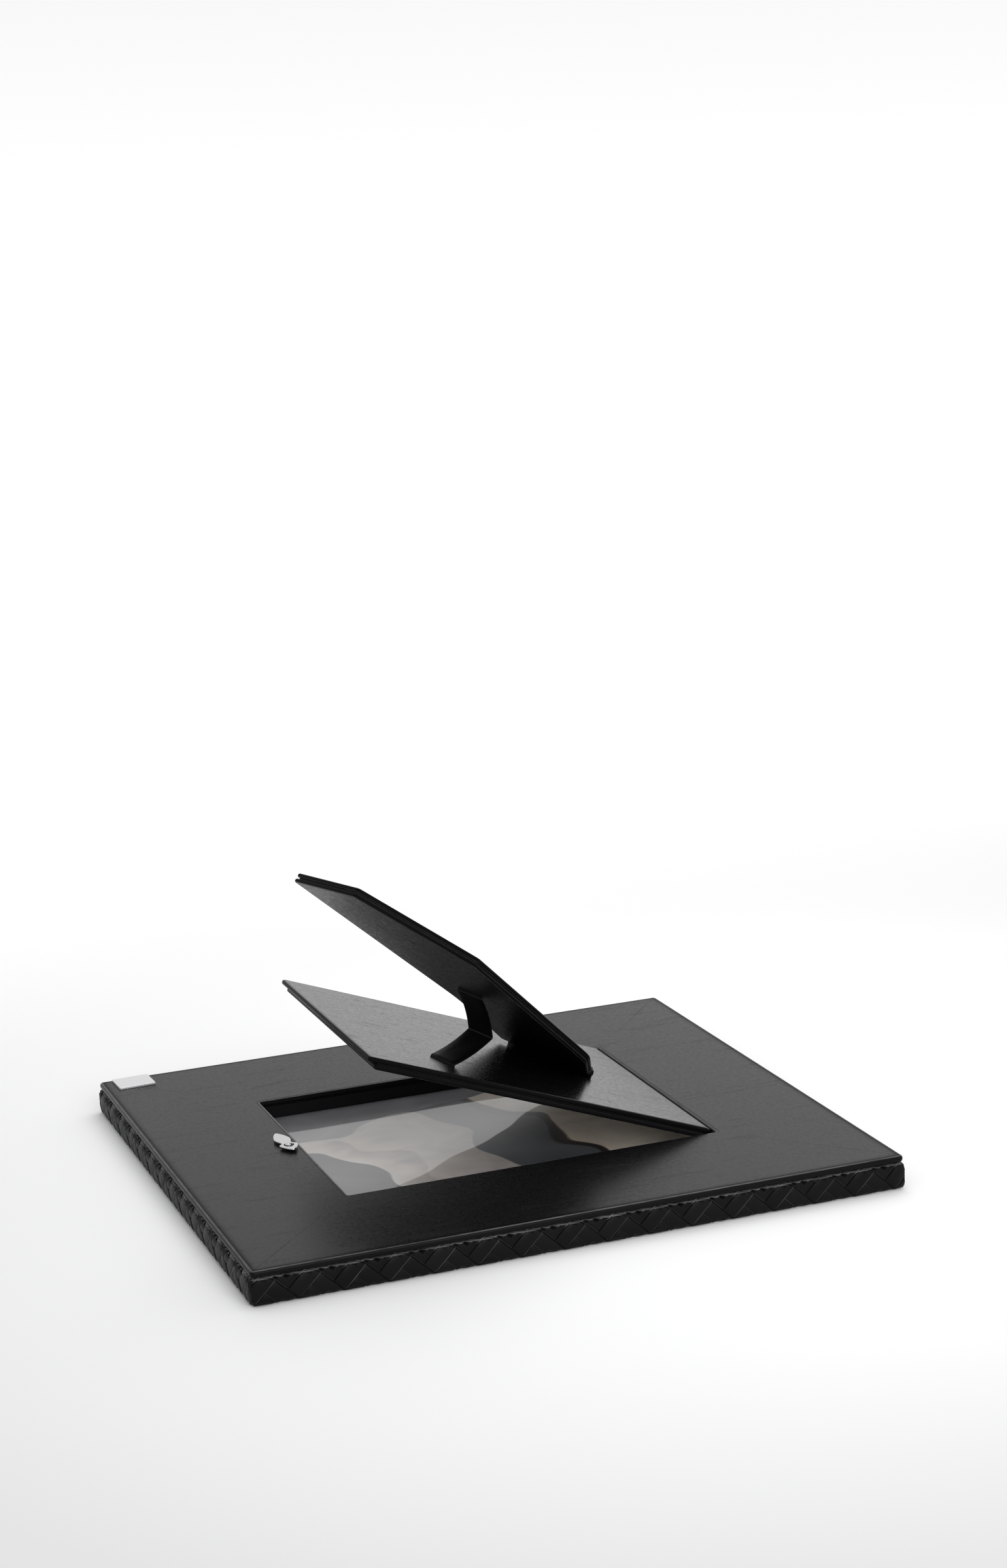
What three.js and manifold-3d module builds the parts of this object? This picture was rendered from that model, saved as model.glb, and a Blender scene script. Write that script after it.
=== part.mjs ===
// Leather photo frame lying face down, its back panel ajar and its easel leg open.
// Origin: centre of the frame on the surface it lies on. +X along the long side, +Y away
// from the latch side's viewer, +Z up out of the back. Millimetres.

import * as THREE from "three";
import { mergeVertices } from "three/addons/utils/BufferGeometryUtils.js";
import Module from "manifold-3d";

const wasm = await Module();
wasm.setup();

const degrees = Math.PI / 180;

// Whole frame
const FRAME_LENGTH = 431;
const FRAME_WIDTH = 395;
const FRAME_HEIGHT = 22;

// Picture opening in the back, a little off centre along X
const OPENING_LENGTH = 251;
const OPENING_WIDTH = 199.4;
const OPENING_SHIFT = 2;
const WINDOW_LIP = 5;

// Clearances between glued or seated pieces
const SEAT_GAP = 0.3;
const MITRE_GAP = 0.1;
const CUT_OVERRUN = 2;

// Plaited leather sides
const COVER_THICKNESS = 1.8;
const COVER_TUCK = 10;
const COVER_RETURN = 6;
const COVER_TOP_RADIUS = 4;
const COVER_BOTTOM_RADIUS = 3.4;
const COVER_WINDOW_RADIUS = 2;
const STRIP_WIDTH = 9.9;
const STRIP_GAP = 0.7;
const STRIP_RELIEF = 0.6;
const STRIP_ROOT = 1.2;
const STRIP_MARGIN = 1.5;
const CORNER_PLAIN = 4.8;
const CORNER_RADIUS = 4.4;
const CORNER_EASE = 0.1;

// Back board in its leather
const BOARD_THICKNESS = 4.4;
const BOARD_INSET = 1.4;
const BOARD_LEATHER = 0.9;
const BOARD_EDGE_RADIUS = 1.7;
const BOARD_CORNER_RADIUS = 3.5;
const BOARD_GROOVE = 0.4;

// Opening's lining, glass and print
const LINING_THICKNESS = 1;
const GLASS_THICKNESS = 2;
const PRINT_THICKNESS = 0.6;
const INSERT_GAP = 1;

// Back panel: two leather-covered boards on a thin core, the lower one set back at its free end
const PANEL_LENGTH = 243.8;
const PANEL_WIDTH = 193.6;
const PANEL_BOARD = 3.25;
const PANEL_CORE = 0.5;
const PANEL_SETBACK = 5.2;
const PANEL_PROUD = 0.9;
const PANEL_EDGE_RADIUS = 1.3;
const PANEL_CORNER_RADIUS = 3;
const PANEL_HINGE_GAP = 3.1;
const PANEL_OPEN = 20.3 * degrees;
const CORE_INSET = 4;

// Panel hinge: a leather strip folded in the gap, its fold line near the top
const PANEL_AXIS_IN = 1.5;
const PANEL_AXIS_DOWN = 0.8;
const HINGE_LEATHER = 0.8;
const HINGE_DROP = 7;
const HINGE_END_INSET = 6;
const HINGE_FOLD_RADIUS = 0.6;

// Easel leg: heading from the long side, open angle, outline along and across its axis
const LEG_HEADING = 32.2 * degrees;
const LEG_OPEN = 20.15 * degrees;
const LEG_PLACE_X = 68.6;
const LEG_PLACE_Y = 7.4;
const LEG_BOARD = 2.6;
const LEG_CORE = 0.4;
const LEG_HINGE_NEAR = 28;
const LEG_HINGE_FAR = 39;
const LEG_HEEL_PLACE = 50;
const LEG_HEEL_HALF = 50.8;
const LEG_WAIST_PLACE = 90;
const LEG_WAIST_HALF = 35.6;
const LEG_TIP = 294.7;
const LEG_TIP_OFFSET = 3.7;
const LEG_FAR_CORNER = 265.8;
const LEG_FAR_HALF = 65;
const LEG_NEAR_CORNER = 227.4;
const LEG_NEAR_HALF = 58.7;
const LEG_EDGE_RADIUS = 0.9;
const LEG_CORNER_RADIUS = 2.5;
const LEG_CORE_INSET = 4;

// Leg hinge: a leather roll on the leg and a tab let into the panel
const LEG_TAB_INSET = 2;
const LEG_TAB_LEATHER = 0.8;
const LEG_TONGUE_REACH = 14;

// Strap that stops the leg
const STRAP_WIDTH = 20;
const STRAP_THICKNESS = 1.1;
const STRAP_PANEL_PLACE = 133.6;
const STRAP_LEG_PLACE = 132.4;
const STRAP_CREASE_PLACE = 100.4;
const STRAP_CREASE_HEIGHT = 19.6;
const STRAP_BOW = 3.2;
const STRAP_CREASE_RADIUS = 1.6;
const SLIT_DEPTH = 2.8;
const LEG_SLIT_DEPTH = 2;

// Latch: turn button on a screw, beside the opening
const LATCH_EDGE_DISTANCE = 8.9;
const LATCH_HEADING = 94 * degrees;
const LATCH_THICKNESS = 1.2;
const LATCH_STAND = 1.3;
const LEAF_REACH = 25.4;
const LEAF_WIDEST = 14;
const LEAF_ROOT = 4.6;
const LEAF_HALF_WIDTH = 5.3;
const LEAF_ROOT_HALF = 3.4;
const BOSS_HALF_WIDTH = 6.2;
const BOSS_TAIL = 9.4;
const BUTTON_EDGE_RADIUS = 0.3;
const SCREW_HEAD_RADIUS = 2.5;
const SCREW_HEAD_HEIGHT = 1.1;
const SCREW_SHANK_RADIUS = 1.3;
const SCREW_LENGTH = 11;
const SCREW_SLOT = 0.6;
const WASHER_RADIUS = 4.4;

// Bare metal plate by the far left corner, on two pins
const PLATE_LENGTH = 25.8;
const PLATE_WIDTH = 21.4;
const PLATE_THICKNESS = 1.3;
const PLATE_FROM_END = 10.3;
const PLATE_FROM_SIDE = 4.4;
const PLATE_EDGE_RADIUS = 0.3;
const PLATE_CORNER_RADIUS = 0.8;
const PLATE_TURN = 2.4 * degrees;
const PIN_RADIUS = 0.9;
const PIN_LENGTH = 3;
const PIN_SPREAD_SHARE = 0.3;

// Facets: counts only
const ARC_STEPS = 3;
const EDGE_STEPS = 2;
const ROUND_SIDES = 20;

// Sizes that follow from the ones above
const openingLeft = OPENING_SHIFT - OPENING_LENGTH / 2;
const openingRight = OPENING_SHIFT + OPENING_LENGTH / 2;
const marginLeft = FRAME_LENGTH / 2 + openingLeft;
const marginRight = FRAME_LENGTH / 2 - openingRight;
const marginSide = (FRAME_WIDTH - OPENING_WIDTH) / 2;
const boardBottom = FRAME_HEIGHT - BOARD_THICKNESS;
const coverTop = boardBottom - BOARD_GROOVE;
const glassBottom = COVER_RETURN + SEAT_GAP;
const printBottom = glassBottom + GLASS_THICKNESS + SEAT_GAP;
const panelThickness = 2 * PANEL_BOARD + PANEL_CORE + 2 * SEAT_GAP;
const panelTop = FRAME_HEIGHT + PANEL_PROUD;
const panelAxisX = openingRight - PANEL_AXIS_IN;
const panelAxisZ = FRAME_HEIGHT - PANEL_AXIS_DOWN;
const panelRight = openingRight - PANEL_HINGE_GAP;
const legThickness = 2 * LEG_BOARD + LEG_CORE + 2 * SEAT_GAP;

const material = (color, roughness, metalness) =>
  new THREE.MeshStandardMaterial({ color, roughness, metalness });

const finishes = {
  leather: () => material(0x2a2a2c, 0.5, 0),
  plait: () => material(0x1d1d1f, 0.5, 0),
  lining: () => material(0x151516, 0.7, 0),
  board: () => material(0x6b5a45, 0.9, 0),
  wood: () => material(0xa58a62, 0.8, 0),
  silver: () => material(0xc9c9cb, 0.25, 1),
  glass: () => material(0xdfe7e8, 0.05, 0),
  print: () => material(0x8d8782, 0.35, 0),
};

const part = new THREE.Group();

function addPiece(parent, name, geometry, finish) {
  const piece = new THREE.Mesh(geometry, finish());
  piece.name = name;
  parent.add(piece);
  return piece;
}

// Solids for cuts and joins

function toSolid(geometry) {
  const bare = geometry.clone();
  bare.deleteAttribute("normal");
  bare.deleteAttribute("uv");
  const merged = mergeVertices(bare);
  const mesh = new wasm.Mesh({
    numProp: 3,
    vertProperties: new Float32Array(merged.attributes.position.array),
    triVerts: new Uint32Array(merged.index.array),
  });
  return new wasm.Manifold(mesh);
}

function toGeometry(solid) {
  const mesh = solid.getMesh();
  const geometry = new THREE.BufferGeometry();
  geometry.setAttribute("position", new THREE.BufferAttribute(mesh.vertProperties, 3));
  geometry.setIndex(new THREE.BufferAttribute(mesh.triVerts, 1));
  return geometry;
}

function cut(geometry, ...cutters) {
  return toGeometry(cutters.reduce((solid, cutter) => solid.subtract(toSolid(cutter)), toSolid(geometry)));
}

function join(geometry, ...others) {
  return toGeometry(others.reduce((solid, other) => solid.add(toSolid(other)), toSolid(geometry)));
}

// Box given by its low and high corners
function block(low, high) {
  const size = high.map((value, i) => value - low[i]);
  const middle = high.map((value, i) => (value + low[i]) / 2);
  return new THREE.BoxGeometry(...size).translate(...middle);
}

// Plan outlines

// Outline through corners, each one rounded by a curve of the given reach
function roundedOutline(corners, radius, steps = ARC_STEPS) {
  const outline = [];
  corners.forEach((corner, i) => {
    const before = corners[(i + corners.length - 1) % corners.length];
    const after = corners[(i + 1) % corners.length];
    const start = corner.clone().add(before.clone().sub(corner).setLength(radius));
    const end = corner.clone().add(after.clone().sub(corner).setLength(radius));
    const curve = new THREE.QuadraticBezierCurve(start, corner, end);
    outline.push(...curve.getPoints(steps));
  });
  return outline;
}

function rectangleCorners(left, right, near, far) {
  return [
    new THREE.Vector2(left, near),
    new THREE.Vector2(right, near),
    new THREE.Vector2(right, far),
    new THREE.Vector2(left, far),
  ];
}

// Board with rolled edges between two heights
function wrappedBoard(outline, bottom, top, edgeRadius, hole = null) {
  const shape = new THREE.Shape(outline);
  if (hole) {
    shape.holes.push(new THREE.Path(hole));
  }
  return new THREE.ExtrudeGeometry(shape, {
    depth: top - bottom - 2 * edgeRadius,
    bevelEnabled: true,
    bevelThickness: edgeRadius,
    bevelSize: edgeRadius,
    bevelOffset: -edgeRadius,
    bevelSegments: EDGE_STEPS,
  }).translate(0, 0, bottom + edgeRadius);
}

function plainSheet(outline, bottom, top, hole = null) {
  const shape = new THREE.Shape(outline);
  if (hole) {
    shape.holes.push(new THREE.Path(hole));
  }
  return new THREE.ExtrudeGeometry(shape, { depth: top - bottom, bevelEnabled: false })
    .translate(0, 0, bottom);
}

// Sides of the frame

// The four sides: name, length, own margin, margins at its two ends, and turn about Z
const sides = [
  { name: "near", length: FRAME_LENGTH, margin: marginSide, start: marginLeft, end: marginRight, turn: 0 },
  { name: "right", length: FRAME_WIDTH, margin: marginRight, start: marginSide, end: marginSide, turn: 1 },
  { name: "far", length: FRAME_LENGTH, margin: marginSide, start: marginRight, end: marginLeft, turn: 2 },
  { name: "left", length: FRAME_WIDTH, margin: marginLeft, start: marginSide, end: marginSide, turn: 3 },
];

// A bar with a given section, its ends mitred to meet the bars next to it.
// The section has inset from the outer face as x and height as y.
function mitredBar(side, section) {
  const geometry = new THREE.ExtrudeGeometry(new THREE.Shape(section), {
    depth: side.length,
    bevelEnabled: false,
  });
  const position = geometry.attributes.position;
  for (let i = 0; i < position.count; i += 1) {
    const inset = position.getX(i);
    const height = position.getY(i);
    const atStart = position.getZ(i) < side.length / 2;
    const share = atStart ? side.start / side.margin : side.end / side.margin;
    const travel = inset * share + MITRE_GAP;
    const along = atStart ? travel : side.length - travel;
    position.setXYZ(i, along - side.length / 2, inset, height);
  }
  return geometry;
}

// Moves a bar from its own place, outer face at y = 0, to its side of the frame
function placeSide(geometry, side) {
  const across = side.turn % 2 === 0 ? FRAME_WIDTH : FRAME_LENGTH;
  return geometry.translate(0, -across / 2, 0).rotateZ(side.turn * Math.PI / 2);
}

function railSection(side) {
  const skin = COVER_THICKNESS + SEAT_GAP;
  const wall = side.margin - LINING_THICKNESS - SEAT_GAP;
  const lip = side.margin + WINDOW_LIP - skin;
  const tuckEnd = COVER_TUCK + SEAT_GAP;
  const bevel = COVER_BOTTOM_RADIUS - COVER_THICKNESS;
  return [
    [skin + bevel, skin],
    [lip, skin],
    [lip, COVER_RETURN],
    [wall, COVER_RETURN],
    [wall, coverTop],
    [tuckEnd, coverTop],
    [tuckEnd, coverTop - skin],
    [skin + COVER_TOP_RADIUS - COVER_THICKNESS, coverTop - skin],
    [skin, coverTop - skin - (COVER_TOP_RADIUS - COVER_THICKNESS)],
    [skin, skin + bevel],
  ].map(([inset, height]) => new THREE.Vector2(inset, height));
}

// Quarter round from one point to another about a corner
function quarter(from, corner, to) {
  const curve = new THREE.QuadraticBezierCurve(
    new THREE.Vector2(...from), new THREE.Vector2(...corner), new THREE.Vector2(...to));
  return curve.getPoints(EDGE_STEPS);
}

// Line of the cover from its tuck, round the side and the front, to the window.
// The side lies at its own inset, the rest at another.
function coverLine(side, inset, sideInset = inset) {
  const top = coverTop - inset;
  const inner = side.margin + WINDOW_LIP - inset;
  const topRadius = COVER_TOP_RADIUS - sideInset;
  const bottomRadius = COVER_BOTTOM_RADIUS - inset;
  const windowRadius = COVER_WINDOW_RADIUS - inset / 2;
  return [
    new THREE.Vector2(COVER_TUCK, top),
    ...quarter([sideInset + topRadius, top], [sideInset, top], [sideInset, top - topRadius]),
    ...quarter(
      [sideInset, inset + bottomRadius], [sideInset, inset], [sideInset + bottomRadius, inset]),
    ...quarter([inner - windowRadius, inset], [inner, inset], [inner, inset + windowRadius]),
    new THREE.Vector2(inner, COVER_RETURN),
  ];
}

function sheetSection(outer, inner) {
  return [...outer, ...inner.slice().reverse()];
}

// Herringbone plait: bricks two strips long and one strip wide, laid at 45 degrees both ways
function plaitBricks(side) {
  const step = STRIP_WIDTH / Math.SQRT2;
  const reach = Math.ceil(side.length / 2 / step / 4);
  const brick = new THREE.Shape(rectangleCorners(
    STRIP_GAP / 2 - STRIP_WIDTH, STRIP_WIDTH - STRIP_GAP / 2,
    STRIP_GAP / 2 - STRIP_WIDTH / 2, STRIP_WIDTH / 2 - STRIP_GAP / 2));
  const depth = STRIP_ROOT + CUT_OVERRUN;
  const bricks = [];
  for (let column = -reach; column <= reach; column += 1) {
    for (let row = 0; row <= 1; row += 1) {
      [0, 1].forEach((lean) => {
        const along = (4 * column + 2 * lean) * step;
        const height = (2 * row + lean - 1 / 2) * step;
        const body = new THREE.ExtrudeGeometry(brick, { depth, bevelEnabled: false });
        body.rotateZ(lean ? Math.PI / 4 : -Math.PI / 4);
        body.rotateX(Math.PI / 2).translate(along, STRIP_ROOT, height);
        bricks.push(body);
      });
    }
  }
  return bricks;
}

// Plan of one side seen from its own place, a hair large, with the frame's rounded corners
function sidePlan(side) {
  const half = side.length / 2 + CORNER_EASE;
  const corners = rectangleCorners(-half, half, -CORNER_EASE, 2 * side.margin);
  return toSolid(plainSheet(roundedOutline(corners, CORNER_RADIUS), -CUT_OVERRUN, FRAME_HEIGHT));
}

// The cover of one side: a sheet round the rail, with the plait standing out of its edge
function coverGeometry(side) {
  const inner = coverLine(side, COVER_THICKNESS);
  const base = mitredBar(side, sheetSection(coverLine(side, 0, STRIP_RELIEF), inner));
  const proud = mitredBar(side, sheetSection(coverLine(side, 0), inner));
  const band = block(
    [CORNER_PLAIN - side.length / 2, -CUT_OVERRUN, STRIP_MARGIN],
    [side.length / 2 - CORNER_PLAIN, STRIP_ROOT + CUT_OVERRUN, coverTop - STRIP_MARGIN]);
  const plait = wasm.Manifold.union(plaitBricks(side).map(toSolid));
  const raised = plait.intersect(toSolid(proud)).intersect(toSolid(band));
  return toGeometry(toSolid(base).add(raised).intersect(sidePlan(side)));
}

// Frame: rails in their plaited covers

const screwX = openingLeft - LATCH_EDGE_DISTANCE;
const buttonBottom = FRAME_HEIGHT + LATCH_STAND;
const screwSeat = buttonBottom + LATCH_THICKNESS + SEAT_GAP;

function screwHole() {
  const reach = screwSeat - SCREW_LENGTH - SEAT_GAP;
  return new THREE.CylinderGeometry(
    SCREW_SHANK_RADIUS + SEAT_GAP, SCREW_SHANK_RADIUS + SEAT_GAP, screwSeat - reach, ROUND_SIDES)
    .rotateX(Math.PI / 2)
    .translate(screwX, 0, (screwSeat + reach) / 2);
}

sides.forEach((side) => {
  const rail = placeSide(mitredBar(side, railSection(side)), side);
  const drilled = side.name === "left" ? cut(rail, screwHole()) : rail;
  addPiece(part, `rail_${side.name}`, drilled, finishes.wood);
  addPiece(part, `plait_${side.name}`, placeSide(coverGeometry(side), side), finishes.plait);
});

// Back: a fibreboard ring in a leather skin with rolled edges

const openingCorners = (grow) => rectangleCorners(
  openingLeft - grow, openingRight + grow, -OPENING_WIDTH / 2 - grow, OPENING_WIDTH / 2 + grow);
const boardCorners = (inset) => rectangleCorners(
  inset - FRAME_LENGTH / 2, FRAME_LENGTH / 2 - inset, inset - FRAME_WIDTH / 2, FRAME_WIDTH / 2 - inset);

const pinPlaces = [-1, 1].map((end) => [end * PIN_SPREAD_SHARE * PLATE_LENGTH, 0]);
const plateX = PLATE_FROM_END + (PLATE_LENGTH - FRAME_LENGTH) / 2;
const plateY = (FRAME_WIDTH - PLATE_WIDTH) / 2 - PLATE_FROM_SIDE;

function pinBodies(radius, bottom, top) {
  return pinPlaces.map(([x, y]) => new THREE.CylinderGeometry(radius, radius, top - bottom, ROUND_SIDES / 2)
    .rotateX(Math.PI / 2)
    .translate(x, y, (top + bottom) / 2)
    .rotateZ(PLATE_TURN)
    .translate(plateX, plateY, 0));
}

const pinHoles = pinBodies(PIN_RADIUS + SEAT_GAP, FRAME_HEIGHT - PIN_LENGTH - SEAT_GAP, FRAME_HEIGHT + SEAT_GAP);

const skinWall = BOARD_INSET + BOARD_EDGE_RADIUS;
const skin = cut(
  wrappedBoard(
    roundedOutline(boardCorners(BOARD_INSET), BOARD_CORNER_RADIUS),
    boardBottom, FRAME_HEIGHT, BOARD_EDGE_RADIUS, openingCorners(0)),
  plainSheet(
    boardCorners(skinWall), boardBottom - CUT_OVERRUN, FRAME_HEIGHT - BOARD_LEATHER,
    openingCorners(BOARD_EDGE_RADIUS)),
  screwHole(), ...pinHoles);
addPiece(part, "back_leather", skin, finishes.leather);

const ring = cut(
  plainSheet(
    boardCorners(skinWall + SEAT_GAP), boardBottom, FRAME_HEIGHT - BOARD_LEATHER - SEAT_GAP,
    openingCorners(BOARD_EDGE_RADIUS + SEAT_GAP)),
  screwHole(), ...pinHoles);
addPiece(part, "back_board", ring, finishes.board);

// Opening: lining, glass on the window's lip, and the print behind it

const wallTop = boardBottom - SEAT_GAP;
addPiece(part, "opening_lining",
  plainSheet(openingCorners(LINING_THICKNESS), glassBottom, wallTop, openingCorners(0)), finishes.lining);
addPiece(part, "glass_pane",
  plainSheet(openingCorners(-INSERT_GAP), glassBottom, glassBottom + GLASS_THICKNESS), finishes.glass);
addPiece(part, "photo_print",
  plainSheet(openingCorners(-INSERT_GAP), printBottom, printBottom + PRINT_THICKNESS), finishes.print);

// Corner plate on its pins

const plate = wrappedBoard(
  roundedOutline(
    rectangleCorners(-PLATE_LENGTH / 2, PLATE_LENGTH / 2, -PLATE_WIDTH / 2, PLATE_WIDTH / 2),
    PLATE_CORNER_RADIUS),
  FRAME_HEIGHT + SEAT_GAP, FRAME_HEIGHT + SEAT_GAP + PLATE_THICKNESS, PLATE_EDGE_RADIUS)
  .rotateZ(PLATE_TURN)
  .translate(plateX, plateY, 0);
addPiece(part, "corner_plate", plate, finishes.silver);

const pins = pinBodies(PIN_RADIUS, FRAME_HEIGHT - PIN_LENGTH, FRAME_HEIGHT);
pins.forEach((pin, i) => addPiece(part, `plate_pin_${i + 1}`, pin, finishes.silver));

// Turn button: a leaf with a cross-wise boss, on a screw and a dark ring

const latch = new THREE.Group();
latch.position.set(screwX, 0, 0);
latch.rotation.z = LATCH_HEADING;
part.add(latch);

const buttonEdge = new THREE.SplineCurve([
  [LEAF_REACH, 0],
  [LEAF_WIDEST, LEAF_HALF_WIDTH],
  [LEAF_ROOT, LEAF_ROOT_HALF],
  [0, BOSS_HALF_WIDTH],
  [-BOSS_TAIL, 0],
  [0, -BOSS_HALF_WIDTH],
  [LEAF_ROOT, -LEAF_ROOT_HALF],
  [LEAF_WIDEST, -LEAF_HALF_WIDTH],
  [LEAF_REACH, 0],
].map(([along, across]) => new THREE.Vector2(along, across)));
const buttonPlate = wrappedBoard(
  buttonEdge.getPoints(2 * ROUND_SIDES).slice(0, -1),
  buttonBottom, buttonBottom + LATCH_THICKNESS, BUTTON_EDGE_RADIUS);
const screwWay = new THREE.CylinderGeometry(
  SCREW_SHANK_RADIUS + SEAT_GAP, SCREW_SHANK_RADIUS + SEAT_GAP, 2 * screwSeat, ROUND_SIDES)
  .rotateX(Math.PI / 2);
addPiece(latch, "latch_button", cut(buttonPlate, screwWay), finishes.silver);

const washer = plainSheet(
  new THREE.Path().absarc(0, 0, WASHER_RADIUS, 0, 2 * Math.PI).getPoints(ROUND_SIDES).slice(0, -1),
  FRAME_HEIGHT + SEAT_GAP, buttonBottom - SEAT_GAP);
addPiece(latch, "latch_washer", cut(washer, screwWay), finishes.lining);

// Screw: domed head with a slot, and its shank
const domeProfile = new THREE.Path();
domeProfile.moveTo(0, -SCREW_LENGTH);
domeProfile.lineTo(SCREW_SHANK_RADIUS, -SCREW_LENGTH);
domeProfile.lineTo(SCREW_SHANK_RADIUS, 0);
domeProfile.lineTo(SCREW_HEAD_RADIUS, 0);
domeProfile.quadraticCurveTo(SCREW_HEAD_RADIUS, SCREW_HEAD_HEIGHT, 0, SCREW_HEAD_HEIGHT);
const slot = block(
  [-SCREW_HEAD_RADIUS - CUT_OVERRUN, -SCREW_SLOT / 2, SCREW_HEAD_HEIGHT - SCREW_SLOT],
  [SCREW_HEAD_RADIUS + CUT_OVERRUN, SCREW_SLOT / 2, SCREW_HEAD_HEIGHT + CUT_OVERRUN]);
const screwBody = new THREE.LatheGeometry(domeProfile.getPoints(2 * EDGE_STEPS), ROUND_SIDES)
  .rotateX(Math.PI / 2);
addPiece(latch, "latch_screw", cut(screwBody, slot).translate(0, 0, screwSeat), finishes.silver);

// Panel's leather hinge, frame half: a strip on the opening's wall with its fold on the axis

const hingeHalf = OPENING_WIDTH / 2 - HINGE_END_INSET;
const stripRight = openingRight - SEAT_GAP;
const strip = block(
  [stripRight - HINGE_LEATHER, -hingeHalf, panelAxisZ - HINGE_DROP],
  [stripRight, hingeHalf, panelAxisZ + HINGE_FOLD_RADIUS / 2]);
const fold = new THREE.CylinderGeometry(HINGE_FOLD_RADIUS, HINGE_FOLD_RADIUS, 2 * hingeHalf, ROUND_SIDES / 2)
  .translate(panelAxisX, 0, panelAxisZ);
addPiece(part, "hinge_leather_frame", join(strip, fold), finishes.leather);

// Back panel, built closed about its hinge line and then opened

const panel = new THREE.Group();
panel.position.set(panelAxisX, 0, panelAxisZ);
panel.rotation.y = PANEL_OPEN;
part.add(panel);

const closedPanel = new THREE.Group();
closedPanel.position.set(-panelAxisX, 0, -panelAxisZ);
panel.add(closedPanel);

const panelCorners = (inset, setback) => rectangleCorners(
  panelRight - PANEL_LENGTH + inset + setback, panelRight - inset,
  inset - PANEL_WIDTH / 2, PANEL_WIDTH / 2 - inset);
const panelBoard = (top, setback) => wrappedBoard(
  roundedOutline(panelCorners(0, setback), PANEL_CORNER_RADIUS), top - PANEL_BOARD, top, PANEL_EDGE_RADIUS);
const coreTop = panelTop - PANEL_BOARD - SEAT_GAP;
const legX = panelRight - LEG_PLACE_X;

// Places a body from the leg's own plan, along its length from the hinge, on the panel
const onPanel = (geometry) => geometry
  .rotateZ(Math.PI + LEG_HEADING)
  .translate(legX, LEG_PLACE_Y, panelTop);

const tabNear = LEG_HINGE_NEAR - LEG_TAB_INSET;
const tabFar = LEG_HINGE_FAR - LEG_TAB_INSET;
const tabSlit = onPanel(block(
  [-LEG_TAB_LEATHER / 2 - SEAT_GAP, -tabFar - SEAT_GAP, -SLIT_DEPTH],
  [LEG_TAB_LEATHER / 2 + SEAT_GAP, tabNear + SEAT_GAP, CUT_OVERRUN]));
const strapSlit = onPanel(block(
  [STRAP_PANEL_PLACE - STRAP_THICKNESS / 2 - SEAT_GAP, -STRAP_WIDTH / 2 - SEAT_GAP, -SLIT_DEPTH],
  [STRAP_PANEL_PLACE + STRAP_THICKNESS / 2 + SEAT_GAP, STRAP_WIDTH / 2 + SEAT_GAP, CUT_OVERRUN]));

addPiece(closedPanel, "panel_outer_board", cut(panelBoard(panelTop, 0), tabSlit, strapSlit), finishes.leather);
addPiece(closedPanel, "panel_core",
  plainSheet(panelCorners(CORE_INSET, PANEL_SETBACK), coreTop - PANEL_CORE, coreTop), finishes.board);
addPiece(closedPanel, "panel_inner_board",
  panelBoard(coreTop - PANEL_CORE - SEAT_GAP, PANEL_SETBACK), finishes.leather);
addPiece(closedPanel, "hinge_leather_panel", block(
  [panelRight + SEAT_GAP, -hingeHalf, panelTop - panelThickness + PANEL_EDGE_RADIUS],
  [panelRight + SEAT_GAP + HINGE_LEATHER, hingeHalf, panelAxisZ - HINGE_LEATHER]), finishes.leather);
addPiece(closedPanel, "leg_hinge_tab", onPanel(block(
  [-LEG_TAB_LEATHER / 2, -tabFar, SEAT_GAP - SLIT_DEPTH],
  [LEG_TAB_LEATHER / 2, tabNear, 0])), finishes.leather);

// Easel leg: its hinge line lies on the roll's axis, above the panel

const rollRadius = legThickness / 2;
const legMount = new THREE.Group();
legMount.position.set(legX, LEG_PLACE_Y, panelTop + rollRadius + SEAT_GAP);
legMount.rotation.z = Math.PI + LEG_HEADING;
closedPanel.add(legMount);

const leg = new THREE.Group();
leg.rotation.y = -LEG_OPEN;
legMount.add(leg);

// Its outline, from the hinge's far end round the tip to the heel and the hinge's near end
const legCorners = (start, inset) => [
  [start, -LEG_HINGE_FAR + inset],
  [LEG_WAIST_PLACE, -LEG_WAIST_HALF + inset],
  [LEG_FAR_CORNER - inset, -LEG_FAR_HALF + inset],
  [LEG_TIP - inset, LEG_TIP_OFFSET],
  [LEG_NEAR_CORNER - inset, LEG_NEAR_HALF - inset],
  [LEG_HEEL_PLACE, LEG_HEEL_HALF - inset],
  [start, LEG_HINGE_NEAR - inset],
].map(([along, across]) => new THREE.Vector2(along, across));
const legBoard = (bottom) => wrappedBoard(
  roundedOutline(legCorners(rollRadius + SEAT_GAP, 0), LEG_CORNER_RADIUS),
  bottom, bottom + LEG_BOARD, LEG_EDGE_RADIUS);
const legStrapSlit = block(
  [STRAP_LEG_PLACE - STRAP_THICKNESS / 2 - SEAT_GAP, -STRAP_WIDTH / 2 - SEAT_GAP, -rollRadius - CUT_OVERRUN],
  [STRAP_LEG_PLACE + STRAP_THICKNESS / 2 + SEAT_GAP, STRAP_WIDTH / 2 + SEAT_GAP, LEG_SLIT_DEPTH - rollRadius]);

addPiece(leg, "leg_inner_board", cut(legBoard(-rollRadius), legStrapSlit), finishes.leather);
addPiece(leg, "leg_outer_board", legBoard(rollRadius - LEG_BOARD), finishes.leather);
addPiece(leg, "leg_core", plainSheet(
  legCorners(LEG_TONGUE_REACH + SEAT_GAP, LEG_CORE_INSET), -LEG_CORE / 2, LEG_CORE / 2), finishes.board);

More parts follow.
